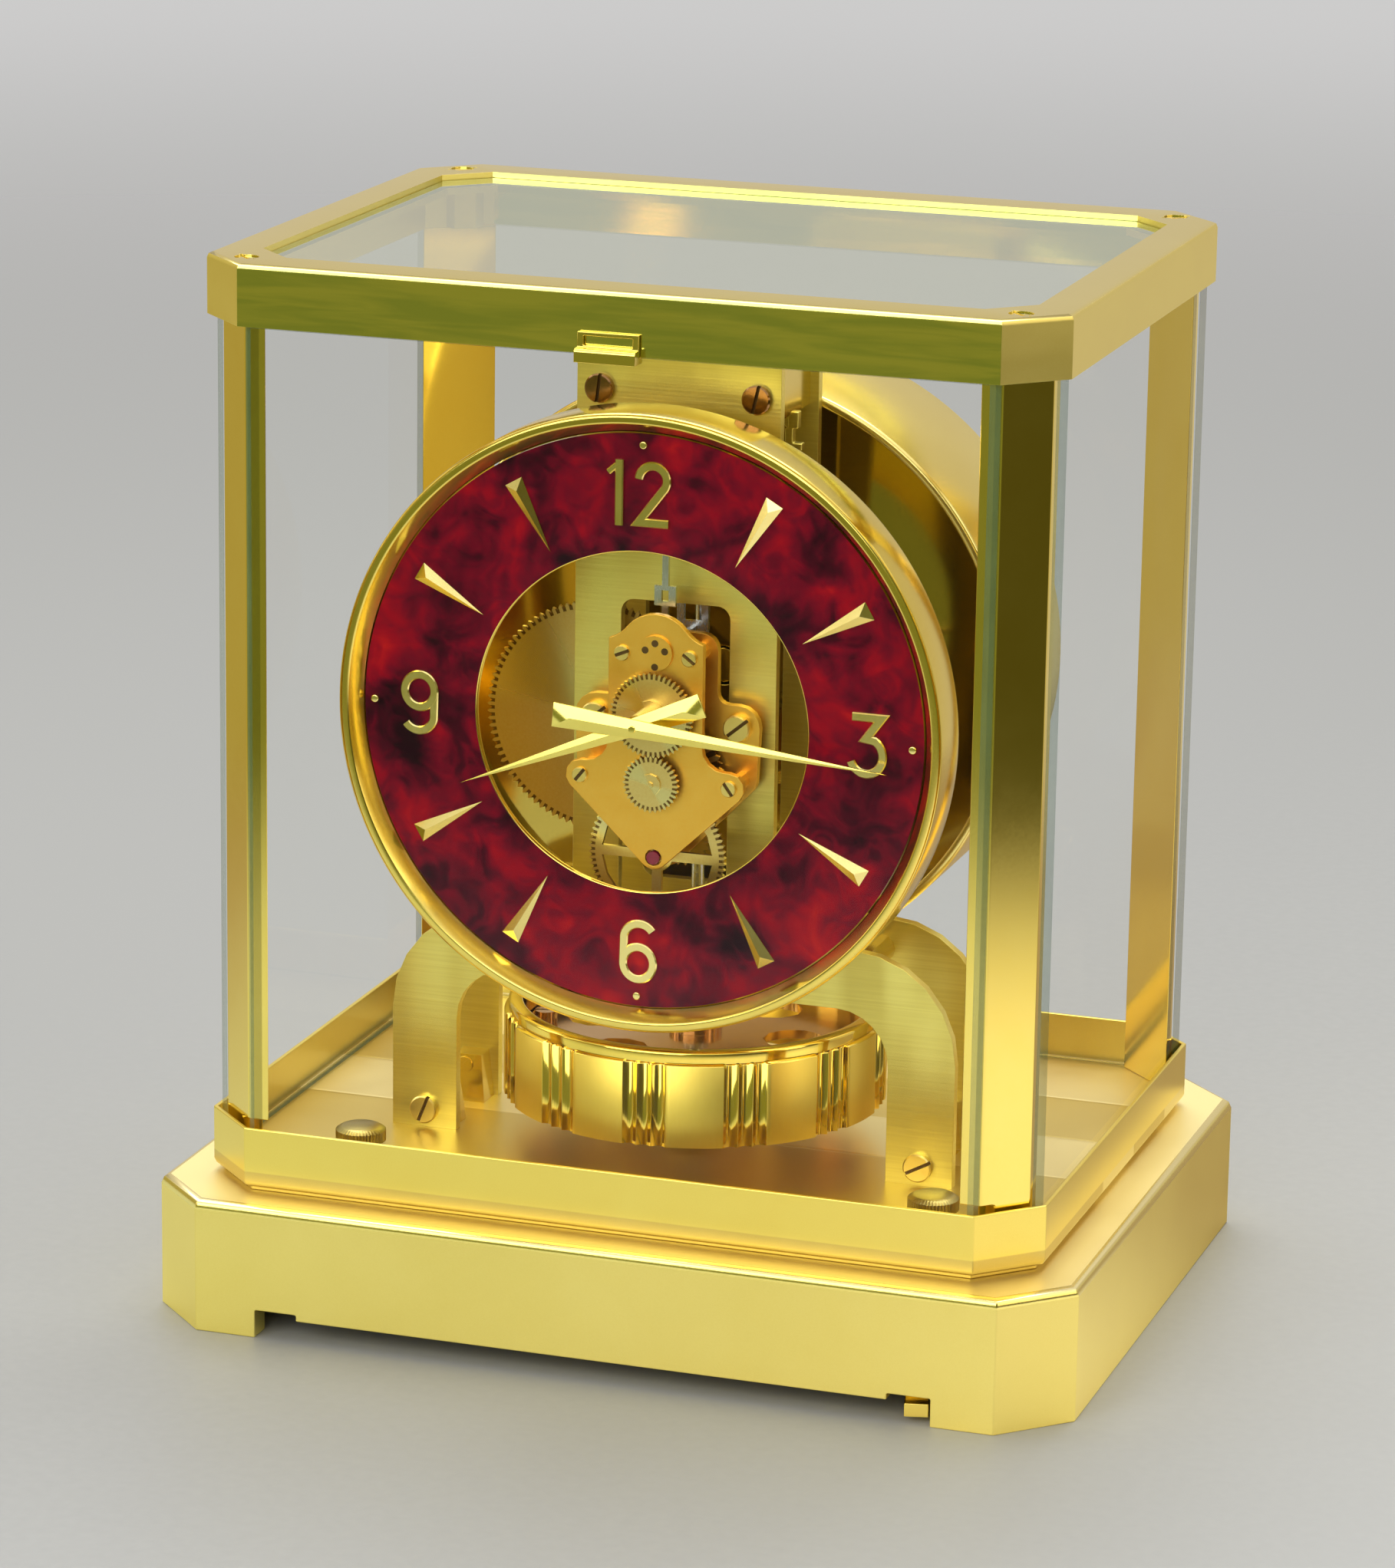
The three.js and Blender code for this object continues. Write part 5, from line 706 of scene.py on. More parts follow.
screw("foot_screw_head_left", "foot_screw_left", 1.2, **FRAME_HEAD)
screw("foot_screw_head_right", "foot_screw_right", 0.5, **FRAME_HEAD)
screw("hanging_screw_left", "suspension_screw_left", 1.45, finish=screw_brown, **FRAME_HEAD)
screw("hanging_screw_right", "suspension_screw_right", 1.35, finish=screw_brown, **FRAME_HEAD)


# Bellows drum
# A spun brass cup with a bright rolled rim and a polished face set back inside it, held to the rear
# plate. The capsule in it swells and shrinks with the warmth of the room.
CENTRE_Z = 138.2
LATHE_SIDES = 160
# A corner of a turned profile: its radius, its place along the axis and its rounding.
DRUM_CUP = (
    (0, 44.5, 0), (67, 44.5, 1.5), (67, 0.5, 0.8), (64.6, 0.5, 0.8), (65.2, 4, 0.5),
    (65.2, 42.9, 0), (0, 42.9, 0),
)
DRUM_PLATE = (
    (4.4, 4.5, 0.3), (27, 4.5, 1), (29, 6.5, 1), (65, 6.5, 0), (65, 8.1, 0), (4.4, 8.1, 0),
)


def filleted(corners, steps=4):
    """A profile with arcs in place of its sharp corners."""
    points = []
    count = len(corners)
    for i, (across, along, rounding) in enumerate(corners):
        here = Vector((across, along))
        if not rounding:
            points.append(here)
            continue
        before = (Vector(corners[i - 1][:2]) - here).normalized()
        after = (Vector(corners[(i + 1) % count][:2]) - here).normalized()
        half = before.angle(after) / 2
        reach = rounding / math.tan(half)
        middle = here + (before + after).normalized() * (rounding / math.sin(half))
        first = here + before * reach - middle
        last = here + after * reach - middle
        angle = first.angle(last)
        for step in range(steps + 1):
            share = step / steps
            start = first * math.sin((1 - share) * angle)
            points.append(middle + (start + last * math.sin(share * angle)) / math.sin(angle))
    return points


def lathe(corners, x, z, axis="Y", sides=LATHE_SIDES):
    """Turns a closed profile about the axis along Y through (x, z), or along Z through (x, y)."""
    profile = filleted(corners)
    shape = bmesh.new()
    rings = []
    for i in range(sides):
        angle = TURN * i / sides
        ring = []
        for across, along in profile:
            u = x + across * math.sin(angle)
            v = z + across * math.cos(angle)
            place = (u, along, v) if axis == "Y" else (u, v, along)
            ring.append(shape.verts.new(Vector(place) * MM))
        rings.append(ring)
    for i in range(sides):
        here, following = rings[i], rings[(i + 1) % sides]
        for j in range(len(profile)):
            k = (j + 1) % len(profile)
            corners_of_face = [here[j], here[k], following[k], following[j]]
            if len({tuple(round(c, 9) for c in v.co) for v in corners_of_face}) > 2:
                shape.faces.new(corners_of_face)
    return shape


# Painted light: the cup's side is a paler, brighter gilt, as if more lit from above.
drum_side = metal(
    "drum_side", (1.0, 0.84, 0.32, 1), (0.95, 0.76, 0.24, 1),
    smooth=0.20, rough=0.3, grain=(0.3, 3, 0.3), depth=0.003, cloud=30,
)
# Painted shade: the polished face set back in the cup is a darkened copy of the gilt.
drum_mirror = metal(
    "drum_mirror", (0.60, 0.44, 0.09, 1), (0.50, 0.36, 0.07, 1),
    smooth=0.06, rough=0.12, grain=0.6, depth=0.0004, cloud=20,
)
drum = new_piece("drum_cup", lathe(DRUM_CUP, 0, CENTRE_Z), drum_side, sharp=40)
settle(drum, "case", "satin_gilt", "bellows_drum")
drum_plate = new_piece("drum_plate", lathe(DRUM_PLATE, 0, CENTRE_Z), drum_mirror, sharp=40)
settle(drum_plate, "case", "polished_gilt", "drum_face")
dressed("capsule", "bellows", polished_gilt, "case", "polished_gilt", 0.3, angle=40)
dressed("capsule_cap", "bellows_cap", gilt_turned, "expansion", "polished_gilt", 0.3, angle=40)


# Bezel
# A deep turned ring of brass, satin outside, with a polished crest that slopes in to the dial. It
# grips the edge of the dial ring.
BEZEL = (
    (67.7, -42, 0.2), (67.7, -55.3, 0.9), (65.6, -55.3, 0.6), (63.2, -51.5, 0.2), (63.2, -48.4, 0),
    (66.1, -46.8, 0), (66.1, -42, 0),
)
LARGE_LATHE_SIDES = 256

bezel_satin = metal(
    "bezel_satin", (0.91, 0.72, 0.18, 1), (0.85, 0.64, 0.13, 1),
    smooth=0.11, rough=0.18, grain=(0.5, 6, 0.5), depth=0.0008, cloud=16,
)
bezel_shape = lathe(BEZEL, 0, CENTRE_Z, sides=LARGE_LATHE_SIDES)
bezel = new_piece("bezel_ring", bezel_shape, bezel_satin, sharp=40)
settle(bezel, "case", "polished_gilt", "bezel")


# Dial ring
# A thin ring of brass, its face lacquered in a clouded dark red with black and polished flat. Its
# feet are riveted behind and screwed to the front plate.
DIAL_FACE = -51.5
DIAL_BACK = -50
DIAL_OPENING = 37.3
DIAL_EDGE = 62.9
DIAL_RING = (
    (DIAL_OPENING, DIAL_FACE, 0.25), (DIAL_EDGE, DIAL_FACE, 0),
    (DIAL_EDGE, DIAL_BACK, 0), (DIAL_OPENING, DIAL_BACK, 0.2),
)
DIAL_FOOT = ((0, DIAL_BACK, 0), (2.6, DIAL_BACK, 0), (2.6, -29, 0), (0, -29, 0))
DIAL_FOOT_PLACES = ((-14, 193), (14, 193), (-17, 81), (17, 81))
LACQUER_STOPS = (
    (0.33, (0.014, 0.0, 0.005, 1)),
    (0.43, (0.065, 0.0, 0.010, 1)),
    (0.53, (0.170, 0.0, 0.014, 1)),
    (0.65, (0.330, 0.0, 0.012, 1)),
    (0.78, (0.560, 0.008, 0.010, 1)),
)


def clouded_red():
    """Red lacquer in broad clouds and small ones, from black to a clear red."""
    paint = Paint("clouded_red")
    tone = paint.noise(21, 3.0, 0.9) * 0.75 + paint.noise(8, 5.0, 1.4) * 0.45 - 0.09
    colour = paint.node("ShaderNodeValToRGB", {"stops": LACQUER_STOPS}, {0: tone})
    return paint.surface({
        "Base Color": colour, "Roughness": 0.3, "Specular IOR Level": 0.1, "Coat Weight": 0.12,
    })


def together(shapes):
    """Several shapes as one."""
    whole = bmesh.new()
    for shape in shapes:
        mesh = bpy.data.meshes.new("part")
        shape.to_mesh(mesh)
        shape.free()
        whole.from_mesh(mesh)
        bpy.data.meshes.remove(mesh)
    return whole


dial_shape = lathe(DIAL_RING, 0, CENTRE_Z, sides=LARGE_LATHE_SIDES)
dial = new_piece("dial_disc", dial_shape, clouded_red(), polished_gilt, sharp=40)
for polygon in dial.data.polygons:
    radius = math.hypot(polygon.center.x, polygon.center.z - CENTRE_Z * MM) / MM
    lacquered = polygon.normal.y < -0.9 and radius > DIAL_OPENING + 0.3
    polygon.material_index = 0 if lacquered else 1
settle(dial, "case", "red_lacquer", "dial_ring")
dial_feet = together(lathe(DIAL_FOOT, x, z, sides=24) for x, z in DIAL_FOOT_PLACES)
settle(new_piece("dial_feet", dial_feet, gilt_turned), "case", "polished_gilt")


# Numerals, wedges and dots
# Stamped and polished brass, riveted through the dial: plain numerals at the quarters, ridged
# wedges at the other hours and a small dot outside each numeral.
NUMERAL_DEPTH = 0.8
NUMERAL_HEIGHT = 14.2
STROKE = 1.9
STROKE_CHAMFER = 0.25
WEDGE_INNER = 41.3
WEDGE_OUTER = 58.2
WEDGE_WIDTH = 4.2
WEDGE_WALL = 0.3
WEDGE_CREST = 1.5
WEDGE_END = 2.2
DOT_RADIUS_FROM_CENTRE = 60.5
DOT = ((0, -0.8, 0), (0.85, -0.8, 0.25), (0.85, 0, 0), (0, 0, 0))

numeral_gilt = metal(
    "numeral_gilt", (0.98, 0.84, 0.36, 1), (0.92, 0.75, 0.26, 1),
    smooth=0.14, rough=0.22, grain=0.4, depth=0.0006, cloud=5,
)


def arc_points(x, z, wide, high, start, end, steps=24):
    angles = [math.radians(start + (end - start) * i / steps) for i in range(steps + 1)]
    return [(x + wide * math.cos(angle), z + high * math.sin(angle)) for angle in angles]


def ribbon(shape, points, width=STROKE, depth=NUMERAL_DEPTH, closed=False):
    """A flat strip of even width along a row of points in X and Z, standing proud of the dial."""
    count = len(points)
    rows = []
    for i, point in enumerate(points):
        before = points[(i - 1) % count] if closed or i else point
        after = points[(i + 1) % count] if closed or i < count - 1 else point
        arriving = (Vector(point) - Vector(before)).normalized() if before != point else None
        leaving = (Vector(after) - Vector(point)).normalized() if after != point else None
        arriving = arriving or leaving
        leaving = leaving or arriving
        way = (arriving + leaving).normalized()
        half = width / 2 / max(way.dot(arriving), 0.45)
        across = Vector((-way.y, way.x)) * half
        left, right = Vector(point) + across, Vector(point) - across
        middle = (left + right) / 2
        narrow = 1 - STROKE_CHAMFER / width * 2
        inner_left, inner_right = (middle + (edge - middle) * narrow for edge in (left, right))
        shoulder = depth - STROKE_CHAMFER
        row = [
            (left, 0), (left, shoulder), (inner_left, depth),
            (inner_right, depth), (right, shoulder), (right, 0),
        ]
        rows.append([shape.verts.new(Vector((p.x, DIAL_FACE - up, p.y)) * MM) for p, up in row])
    for i in range(count if closed else count - 1):
        here, following = rows[i], rows[(i + 1) % count]
        for j in range(6):
            k = (j + 1) % 6
            shape.faces.new((here[j], here[k], following[k], following[j]))
    if not closed:
        shape.faces.new(rows[0])
        shape.faces.new(list(reversed(rows[-1])))


def numeral_shapes():
    """12, 3, 6 and 9 in even strokes. A stroke that lies over another is a little less deep."""
    shape = bmesh.new()
    half = NUMERAL_HEIGHT / 2
    edge = half - STROKE / 2
    under = NUMERAL_DEPTH - 0.02
    top = CENTRE_Z + 50.0
    one = -5.3
    ribbon(shape, [(one, top - half), (one, top + half)])
    ribbon(shape, [(one - 2.4, top + edge - 1.9), (one, top + edge + 0.2)], 1.3, under)
    two = 2.2
    bow = arc_points(two, top + edge - 3.1, 3.1, 3.1, 176, -30)
    ribbon(shape, bow + [(two - 3.1, top - edge), (two + 3.6, top - edge)])
    three = 50.6
    bowl = CENTRE_Z - edge + 3.9
    bow = arc_points(three - 0.2, bowl, 3.6, 3.9, 80, -160)
    line = [
        (three - 3.4, CENTRE_Z + edge), (three + 3.0, CENTRE_Z + edge), (three - 0.4, bowl + 3.7),
    ]
    ribbon(shape, line + bow[2:])
    low = CENTRE_Z - 50.5
    for x, z, way in ((0.2, low, 1), (-50.2, CENTRE_Z, -1)):
        loop_z = z - way * (edge - 3.5)
        ribbon(shape, arc_points(x, loop_z, 3.4, 3.6, 0, 360, 36)[:-1], closed=True)
        tail = arc_points(
            x + way * 0.2, z + way * (edge - 3.4), 3.5 * way, 3.4 * way, 34, 170, 16,
        )
        ribbon(shape, tail + [(x - way * 3.4, loop_z)], depth=under)
    return shape


def wedge_shape():
    """A ridged wedge along +Z, from its sharp inner tip to its broad end."""
    shape = bmesh.new()
    foot = [(0, WEDGE_INNER), (WEDGE_WIDTH / 2, WEDGE_OUTER), (-WEDGE_WIDTH / 2, WEDGE_OUTER)]
    low = [shape.verts.new(Vector((x, 0, z)) * MM) for x, z in foot]
    rim = [shape.verts.new(Vector((x, -WEDGE_WALL, z)) * MM) for x, z in foot]
    ridge = shape.verts.new(Vector((0, -WEDGE_CREST, WEDGE_OUTER - WEDGE_END)) * MM)
    shape.faces.new(low)
    for i in range(3):
        j = (i + 1) % 3
        shape.faces.new((low[i], low[j], rim[j], rim[i]))
        shape.faces.new((rim[i], rim[j], ridge))
    return shape


def ring_group():
    """A tree that sets copies of a piece round an axis, leaves out every nth, and finishes them."""
    group = bpy.data.node_groups.new("round_the_axis", "GeometryNodeTree")
    face = group.interface
    face.new_socket("Geometry", in_out="OUTPUT", socket_type="NodeSocketGeometry")
    for name, kind in (
        ("Piece", "Object"), ("Count", "Int"), ("Step", "Float"), ("First Turn", "Float"),
        ("Leave Out Every", "Int"), ("Axis", "Vector"), ("Middle", "Vector"),
        ("Finish", "Material"),
    ):
        face.new_socket(name, in_out="INPUT", socket_type=f"NodeSocket{kind}")
    steps = Tree(group)
    plugs = group.nodes.new("NodeGroupInput").outputs
    given = {plug.name: Socket(group, plug) for plug in plugs if plug.name}
    count_at = {"Count": given["Count"], "Position": given["Middle"]}
    points = steps.node("GeometryNodePoints", None, count_at)
    index = steps.node("GeometryNodeInputIndex")
    turn = index.maths("MULTIPLY_ADD", index, given["Step"], given["First Turn"])
    turned = {"Axis": given["Axis"], "Angle": turn}
    rotation = steps.node("FunctionNodeAxisAngleToRotation", None, turned)
    rest = index.maths("MODULO", index + 1, given["Leave Out Every"])
    kept = steps.node(
        "FunctionNodeCompare", {"operation": "NOT_EQUAL"}, {"A": rest, "B": 0, "Epsilon": 0.5},
    )
    piece = steps.node("GeometryNodeObjectInfo", None, {"Object": given["Piece"]}, "Geometry")
    copies = steps.node("GeometryNodeInstanceOnPoints", None, {
        "Points": points, "Selection": kept, "Instance": piece, "Rotation": rotation,
    })
    real = steps.node("GeometryNodeRealizeInstances", None, {0: copies})
    finished = {"Geometry": real, "Material": given["Finish"]}
    steps.end("NodeGroupOutput", steps.node("GeometryNodeSetMaterial", None, finished))
    return group


round_the_axis = ring_group()


def round_about(name, shape, finish, count, axis, middle, first=0.0, leave_out=None, sharp=30):
    """Copies of a shape, made about the origin, set round an axis through middle as one mesh."""
    one = new_piece(f"{name}_pattern", shape, finish, sharp=sharp)
    holder = bpy.data.objects.new(name, bpy.data.meshes.new(name))
    scene.collection.objects.link(holder)
    modifier = holder.modifiers.new("copies", "NODES")
    modifier.node_group = round_the_axis
    given = {
        "Piece": one, "Count": count, "Step": TURN / count, "First Turn": first,
        "Leave Out Every": leave_out or count + 1, "Axis": axis,
        "Middle": [value * MM for value in middle], "Finish": finish,
    }
    for item in round_the_axis.interface.items_tree:
        if item.in_out == "INPUT":
            modifier[item.identifier] = given[item.name]
    graph = bpy.context.evaluated_depsgraph_get()
    mesh = bpy.data.meshes.new_from_object(holder.evaluated_get(graph))
    holder.modifiers.clear()
    holder.data = mesh
    mesh.name = name
    bpy.data.objects.remove(one)
    return holder


numerals = new_piece("numerals", numeral_shapes(), numeral_gilt, sharp=30)
settle(numerals, "case", "polished_gilt")
wedges = round_about(
    "hour_wedges", wedge_shape(), numeral_gilt, 12, (0, 1, 0), (0, DIAL_FACE, CENTRE_Z),
    first=TURN / 12, leave_out=3,
)
settle(wedges, "case", "polished_gilt")
dot = lathe(DOT, 0, DOT_RADIUS_FROM_CENTRE, sides=24)
dots = round_about("quarter_dots", dot, numeral_gilt, 4, (0, 1, 0), (0, DIAL_FACE, CENTRE_Z))
settle(dots, "case", "polished_gilt")


# Hands
# Sharp ridged hands of polished brass, broad and bevelled at the tail. The hour hand is pressed on
# the pipe of its wheel and the minute hand on the centre arbor.
hand_gilt = metal(
    "hand_gilt", (0.96, 0.82, 0.22, 1), (0.91, 0.75, 0.17, 1),
    smooth=0.15, rough=0.19, grain=3, depth=0.0001, cloud=14,
)
dressed("hand_minute", "minute_hand", hand_gilt, "minute", "polished_gilt", 0.08, segments=1)
dressed("hand_hour", "hour_hand", hand_gilt, "hour", "polished_gilt", 0.08, segments=1)


# Movement
# Rose gilt plates held apart by pillars, with slotted screws, a bush over the pallet arbor and a
# ruby at the tip. Between them and before them run the wheels, cut with fine teeth.
# The wheels' two tones hold a painted highlight and random grain.
WHEEL_LIGHT = (1.0, 0.90, 0.42, 1)
WHEEL_DEEP = (0.80, 0.58, 0.18, 1)
# Painted shade between the teeth.
WHEEL_GAP_SHADE = (0.22, 0.13, 0.04, 1)
HIGHLIGHT_TURN = 2.79
# Node, body, place of the axle, radius at the roots of the teeth, their number, and where one is.
WHEELS = (
    ("hour_wheel", "hour", 0, CENTRE_Z, 8.68, 48, -86.25),
    ("minute_wheel", "motion", 0, 123, 5.64, 32, 90),
    ("third_wheel", "third", 0, 106, 14.81, 72, 92.5),
    ("great_wheel", "barrel", -19.6, 131.1, 24.87, 96, -50.14),
)
PALLET_Z = 151.5
# A thin disc of painted shade at the bottom of each hole in the bush.
BUSH_HOLE = ((0, -42.73, 0), (0.78, -42.73, 0), (0.78, -42.6, 0), (0, -42.6, 0))
BUSH_HOLE_PLACES = ((-2.2, 0.6), (2.2, 0.6), (0, 2.2), (0, -3))
PLATE_HEAD = {"radius": 1.7, "height": 0.8}
WING_HEAD = {"radius": 3.0, "height": 2.0}

rose_gilt = metal(
    "rose_gilt", (1.0, 0.64, 0.12, 1), (0.97, 0.53, 0.07, 1),
    smooth=0.33, rough=0.43, grain=0.6, depth=0.004, cloud=6,
)
wheel_gilt = metal(
    "wheel_gilt", (1.0, 0.80, 0.30, 1), (0.92, 0.68, 0.20, 1),
    smooth=0.22, rough=0.32, grain=0.5, depth=0.001, cloud=6,
)
steel = metal(
    "steel", (0.74, 0.76, 0.80, 1), (0.56, 0.58, 0.62, 1),
    smooth=0.2, rough=0.32, grain=(0.3, 0.3, 2), depth=0.001, cloud=6,
)


def wheel_finish(name, x, z, root, teeth, turn):
    """Brass turned about the axle at x and z, with a painted highlight in two opposite sectors,
    and painted shade between the teeth.
    """
    paint = Paint(name)
    across, up = paint.part("X") - x * MM, paint.part("Z") - z * MM
    angle = up.maths("ARCTAN2", up, across)
    radius = (across * across + up * up) ** 0.5
    # painted highlight: bright in two opposite sectors about the axle
    ray_highlight = paint.between((angle * 2.0 + HIGHLIGHT_TURN).sine(), 0.3, 0.95)
    tooth_start = TURN / 4 - math.radians(turn) * teeth
    comb = paint.between((angle * teeth + tooth_start).sine(), -0.3, 0.2)
    # painted shade in the gaps between the teeth
    gap = paint.between_mm(radius, root - 0.75, root - 0.6) * (1.0 - comb)
    tone = (ray_highlight * 0.6 + paint.noise(0.5) * 0.4) * (1.0 - gap * 0.85)
    colour = paint.mix(gap, paint.mix(tone, WHEEL_DEEP, WHEEL_LIGHT), WHEEL_GAP_SHADE)
    return paint.metallic(colour, 0.34 - ray_highlight * 0.12)


dressed("movement_plate_front", "front_movement_plate", rose_gilt, "case", "rose_gilt", 0.25)
dressed("movement_plate_rear", "rear_movement_plate", rose_gilt, "case", "rose_gilt", 0.25)
dressed("pallet_bush_disc", "pallet_bush", rose_gilt, "case", "polished_gilt", 0.1, segments=1)
# Painted shade: thin dark discs at the bottom of the holes in the pallet bush.
bush_floors = together(lathe(BUSH_HOLE, x, PALLET_Z + z, sides=20) for x, z in BUSH_HOLE_PLACES)
settle(new_piece("bush_floors", bush_floors, slot_brown), "case", "polished_gilt")
for corner, slot_turn in (
    ("upper_left", 0.4), ("upper_right", 2.5), ("lower_left", 0.9), ("lower_right", 2.2),
):
    screw(f"plate_screw_head_{corner}", f"plate_screw_{corner}", slot_turn, **PLATE_HEAD)
for side in ("left", "right"):
    screw(f"wing_screw_head_{side}", f"wing_screw_{side}", 0.7, **WING_HEAD)
for node, body in (("centre_arbor", "minute"), ("escape_wheel", "escape")):
    dressed(f"{node}_cut", node, wheel_gilt, body, "polished_gilt", 0.06, segments=1, angle=40)
for node, body, *shape in WHEELS:
    finish = wheel_finish(f"{node}_rays", *shape)
    settle(new_piece(f"{node}_cut", traced(node), finish), body, "polished_gilt", node)
dressed("lever", "pallet_lever", steel, "pallets", "steel", 0.1, segments=1)


# Pendulum
# A heavy gilt ring with twelve groups of three hollow flutes and a polished rim, on a pierced web.
# It hangs from a flat wire and turns slowly from side to side.
PENDULUM_Y = -10.7
RING_LIGHT = (1.0, 0.78, 0.15, 1)
RING_DEEP = (0.95, 0.68, 0.11, 1)
RING_RADIUS = 42.7
RING_WALL = 4.2
RING_LOW = 44.4
RING_HIGH = 63.2
RING_CHAMFER = 0.5
RIM = ((38.5, RING_HIGH, 0), (41.7, RING_HIGH, 0), (41.7, 65.8, 0.7), (38.5, 65.8, 0.4))
FLUTE_GROUPS = 12
FLUTES = 3
FLUTE_WIDTH = 3.3
FLUTE_DEPTH = 1.0
FLUTE_STEPS = 8
PLAIN_STEPS = 14
FIRST_GROUP = math.radians(3.2)

web_brown = metal(
    "web_brown", (0.74, 0.46, 0.20, 1), (0.56, 0.32, 0.13, 1),
    smooth=0.12, rough=0.2, grain=0.5, depth=0.001, cloud=9,
)


def ring_finish():
    """Satin on the plain stretches of the ring, and polished in its flutes and on its rim."""
    paint = Paint("ring_gilt")
    share = paint.drift(paint.noise((0.4, 0.4, 2)), 16, 2.0)
    across, along = paint.part("X"), paint.part("Y") - PENDULUM_Y * MM
    radius = (across * across + along * along) ** 0.5
    polish = 1.0 - paint.between_mm(radius, RING_RADIUS - 0.12, RING_RADIUS - 0.02)
    colour = paint.mix(share, RING_DEEP, RING_LIGHT)
    satin = 0.34 + 0.08 * share
    return paint.metallic(colour, satin - (satin - 0.09) * polish)


def fluted_sector():
    """One of the like stretches of the ring's wall: three hollow flutes and a plain stretch."""
    flute = FLUTE_WIDTH / RING_RADIUS
    start = FIRST_GROUP - flute * FLUTES / 2
    outline = []
    for f in range(FLUTES):
        for s in range(FLUTE_STEPS + (f == FLUTES - 1)):
            share = s / FLUTE_STEPS
            radius = RING_RADIUS - FLUTE_DEPTH * math.sin(math.pi * share)
            outline.append((radius, start + (f + share) * flute))
    last = start + flute * FLUTES
    plain = start + TURN / FLUTE_GROUPS - last
    outline += [(RING_RADIUS, last + plain * (i + 1) / PLAIN_STEPS) for i in range(PLAIN_STEPS)]
    shape = bmesh.new()
    rows = []
    inner = RING_RADIUS - RING_WALL
    for size, angle in outline:
        row = []
        for across, up in (
            (size, RING_LOW), (size, RING_HIGH - RING_CHAMFER), (size - RING_CHAMFER, RING_HIGH),
            (inner, RING_HIGH), (inner, RING_LOW),
        ):
            point = Vector((across * math.sin(angle), -across * math.cos(angle), up))
            row.append(shape.verts.new(point * MM))
        rows.append(row)
    for here, following in zip(rows, rows[1:]):
        for j in range(5):
            k = (j + 1) % 5
            shape.faces.new((here[j], here[k], following[k], following[j]))
    return shape


dressed("web", "pendulum_web", web_brown, "pendulum", "rose_gilt", 0.2, angle=40)
ring_gilt = ring_finish()
wall = round_about(
    "fluted_wall", fluted_sector(), ring_gilt, FLUTE_GROUPS, (0, 0, 1), (0, PENDULUM_Y, 0),
    sharp=50,
)
settle(wall, "pendulum", "polished_gilt", "pendulum_ring")
rim_shape = lathe(RIM, 0, PENDULUM_Y, axis="Z", sides=200)
rim = new_piece("pendulum_rim", rim_shape, ring_gilt, sharp=40)
settle(rim, "pendulum", "polished_gilt")
dressed("staff", "pendulum_staff", steel, "pendulum", "steel", 0.1, segments=1, angle=50)


# Lock and levelling
# A lever under the base lifts a plunger against the pendulum. Knurled brass screws on the tray's
# floor run down through the base and level the clock on their broad feet.
KNURL_RADIUS = 5.6
KNURL_DEPTH = 0.3
KNURLS = 44
HEAD_LOW = 35.6
HEAD_HIGH = 39.0
SHANK_RADIUS = 2.4
FOOT_RADIUS = 4.0
FOOT_TALL = 2.6


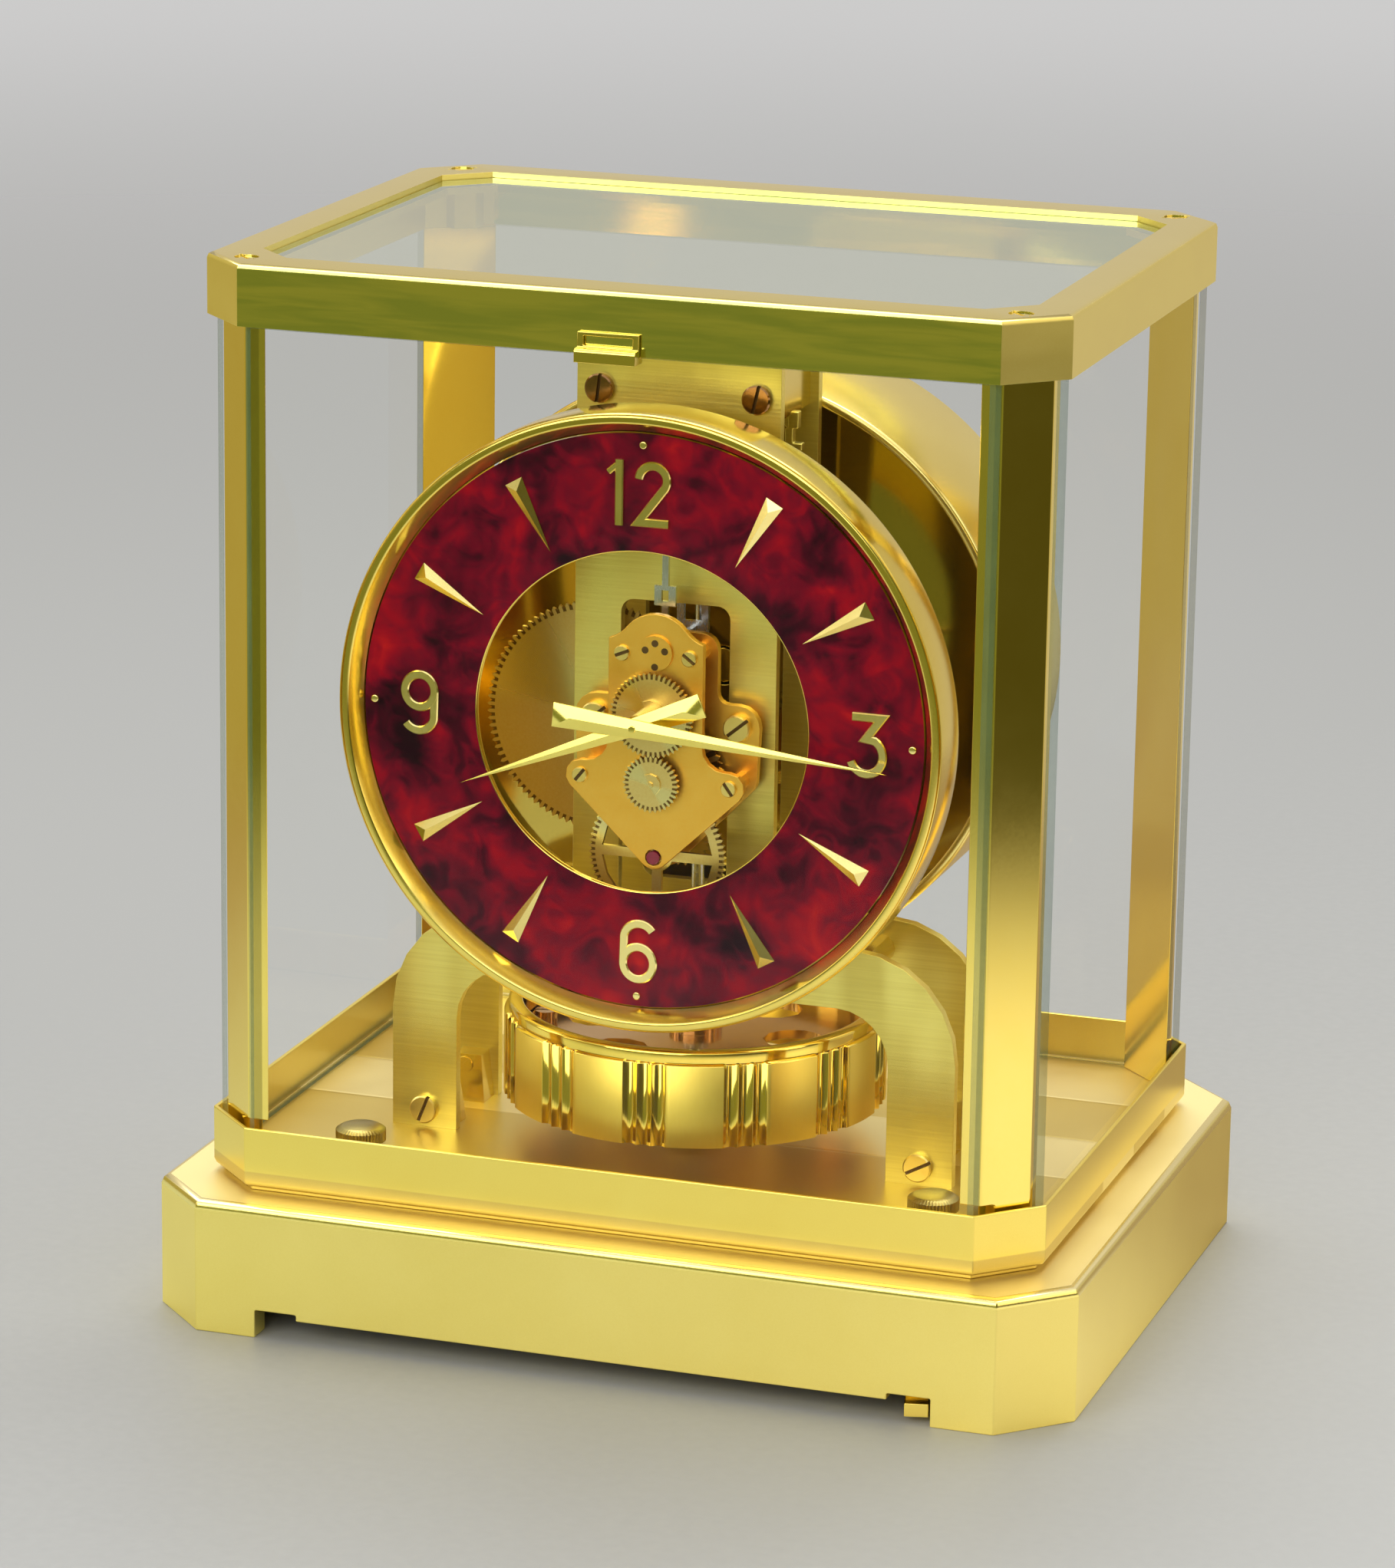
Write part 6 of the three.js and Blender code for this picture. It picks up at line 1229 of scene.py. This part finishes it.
def knurled_screw(end):
    """A knurled head with a raised middle, on a plain shank with a broad foot at end."""
    shape = bmesh.new()
    rows = []
    for i in range(KNURLS * 4):
        angle = TURN * i / (KNURLS * 4)
        size = KNURL_RADIUS - KNURL_DEPTH * (0.5 - 0.5 * math.cos(angle * KNURLS))
        row = []
        for across, up in (
            (FOOT_RADIUS, end), (FOOT_RADIUS, end + FOOT_TALL), (SHANK_RADIUS, end + FOOT_TALL),
            (SHANK_RADIUS, HEAD_LOW), (size, HEAD_LOW), (size, HEAD_HIGH - 0.9),
            (KNURL_RADIUS - 0.8, HEAD_HIGH - 0.35), (KNURL_RADIUS - 1.6, HEAD_HIGH),
        ):
            point = Vector((across * math.sin(angle), across * math.cos(angle), up))
            row.append(shape.verts.new(point * MM))
        rows.append(row)
    for here, following in zip(rows, rows[1:] + rows[:1]):
        for j in range(len(here) - 1):
            shape.faces.new((here[j], here[j + 1], following[j + 1], following[j]))
    shape.faces.new([row[-1] for row in rows])
    shape.faces.new([row[0] for row in reversed(rows)])
    return shape


knurl_brass = metal(
    "knurl_brass", (0.50, 0.40, 0.12, 1), (0.34, 0.27, 0.08, 1),
    smooth=0.26, rough=0.36, grain=0.4, depth=0.002, cloud=5,
)
for side in ("left", "right"):
    node = f"levelling_screw_{side}"
    low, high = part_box(node)
    head = knurled_screw(low.z / MM)
    middle = ((low.x + high.x) / 2, (low.y + high.y) / 2, 0)
    bmesh.ops.translate(head, verts=head.verts, vec=middle)
    made = new_piece(f"knurled_{side}", head, knurl_brass, sharp=40)
    settle(made, f"level_{side}", "polished_gilt", node)
dressed("lock_arm", "lock_lever", gilt_turned, "lock", "polished_gilt", 0.2)


# Plain solids that stay
# The pillars, the wire, the barrel's arbor, the plunger and the ruby are small turned pieces. They
# keep their solids, in the finish of their metal or stone.
RUBY_LIGHT = (0.34, 0.01, 0.04, 1)
RUBY_DEEP = (0.18, 0.0, 0.02, 1)


def ruby_finish():
    paint = Paint("ruby")
    colour = paint.mix(paint.noise(0.8), RUBY_DEEP, RUBY_LIGHT)
    return paint.surface({"Base Color": colour, "Roughness": 0.12, "Coat Weight": 0.3})


for node, finish in (
    ("frame_pillar_left", gilt_turned), ("frame_pillar_right", gilt_turned),
    ("suspension_wire", steel), ("barrel_arbor", steel), ("third_jewel", ruby_finish()),
    ("lock_plunger", steel),
):
    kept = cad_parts[node]
    kept.data.materials.clear()
    kept.data.materials.append(finish)

low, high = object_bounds()
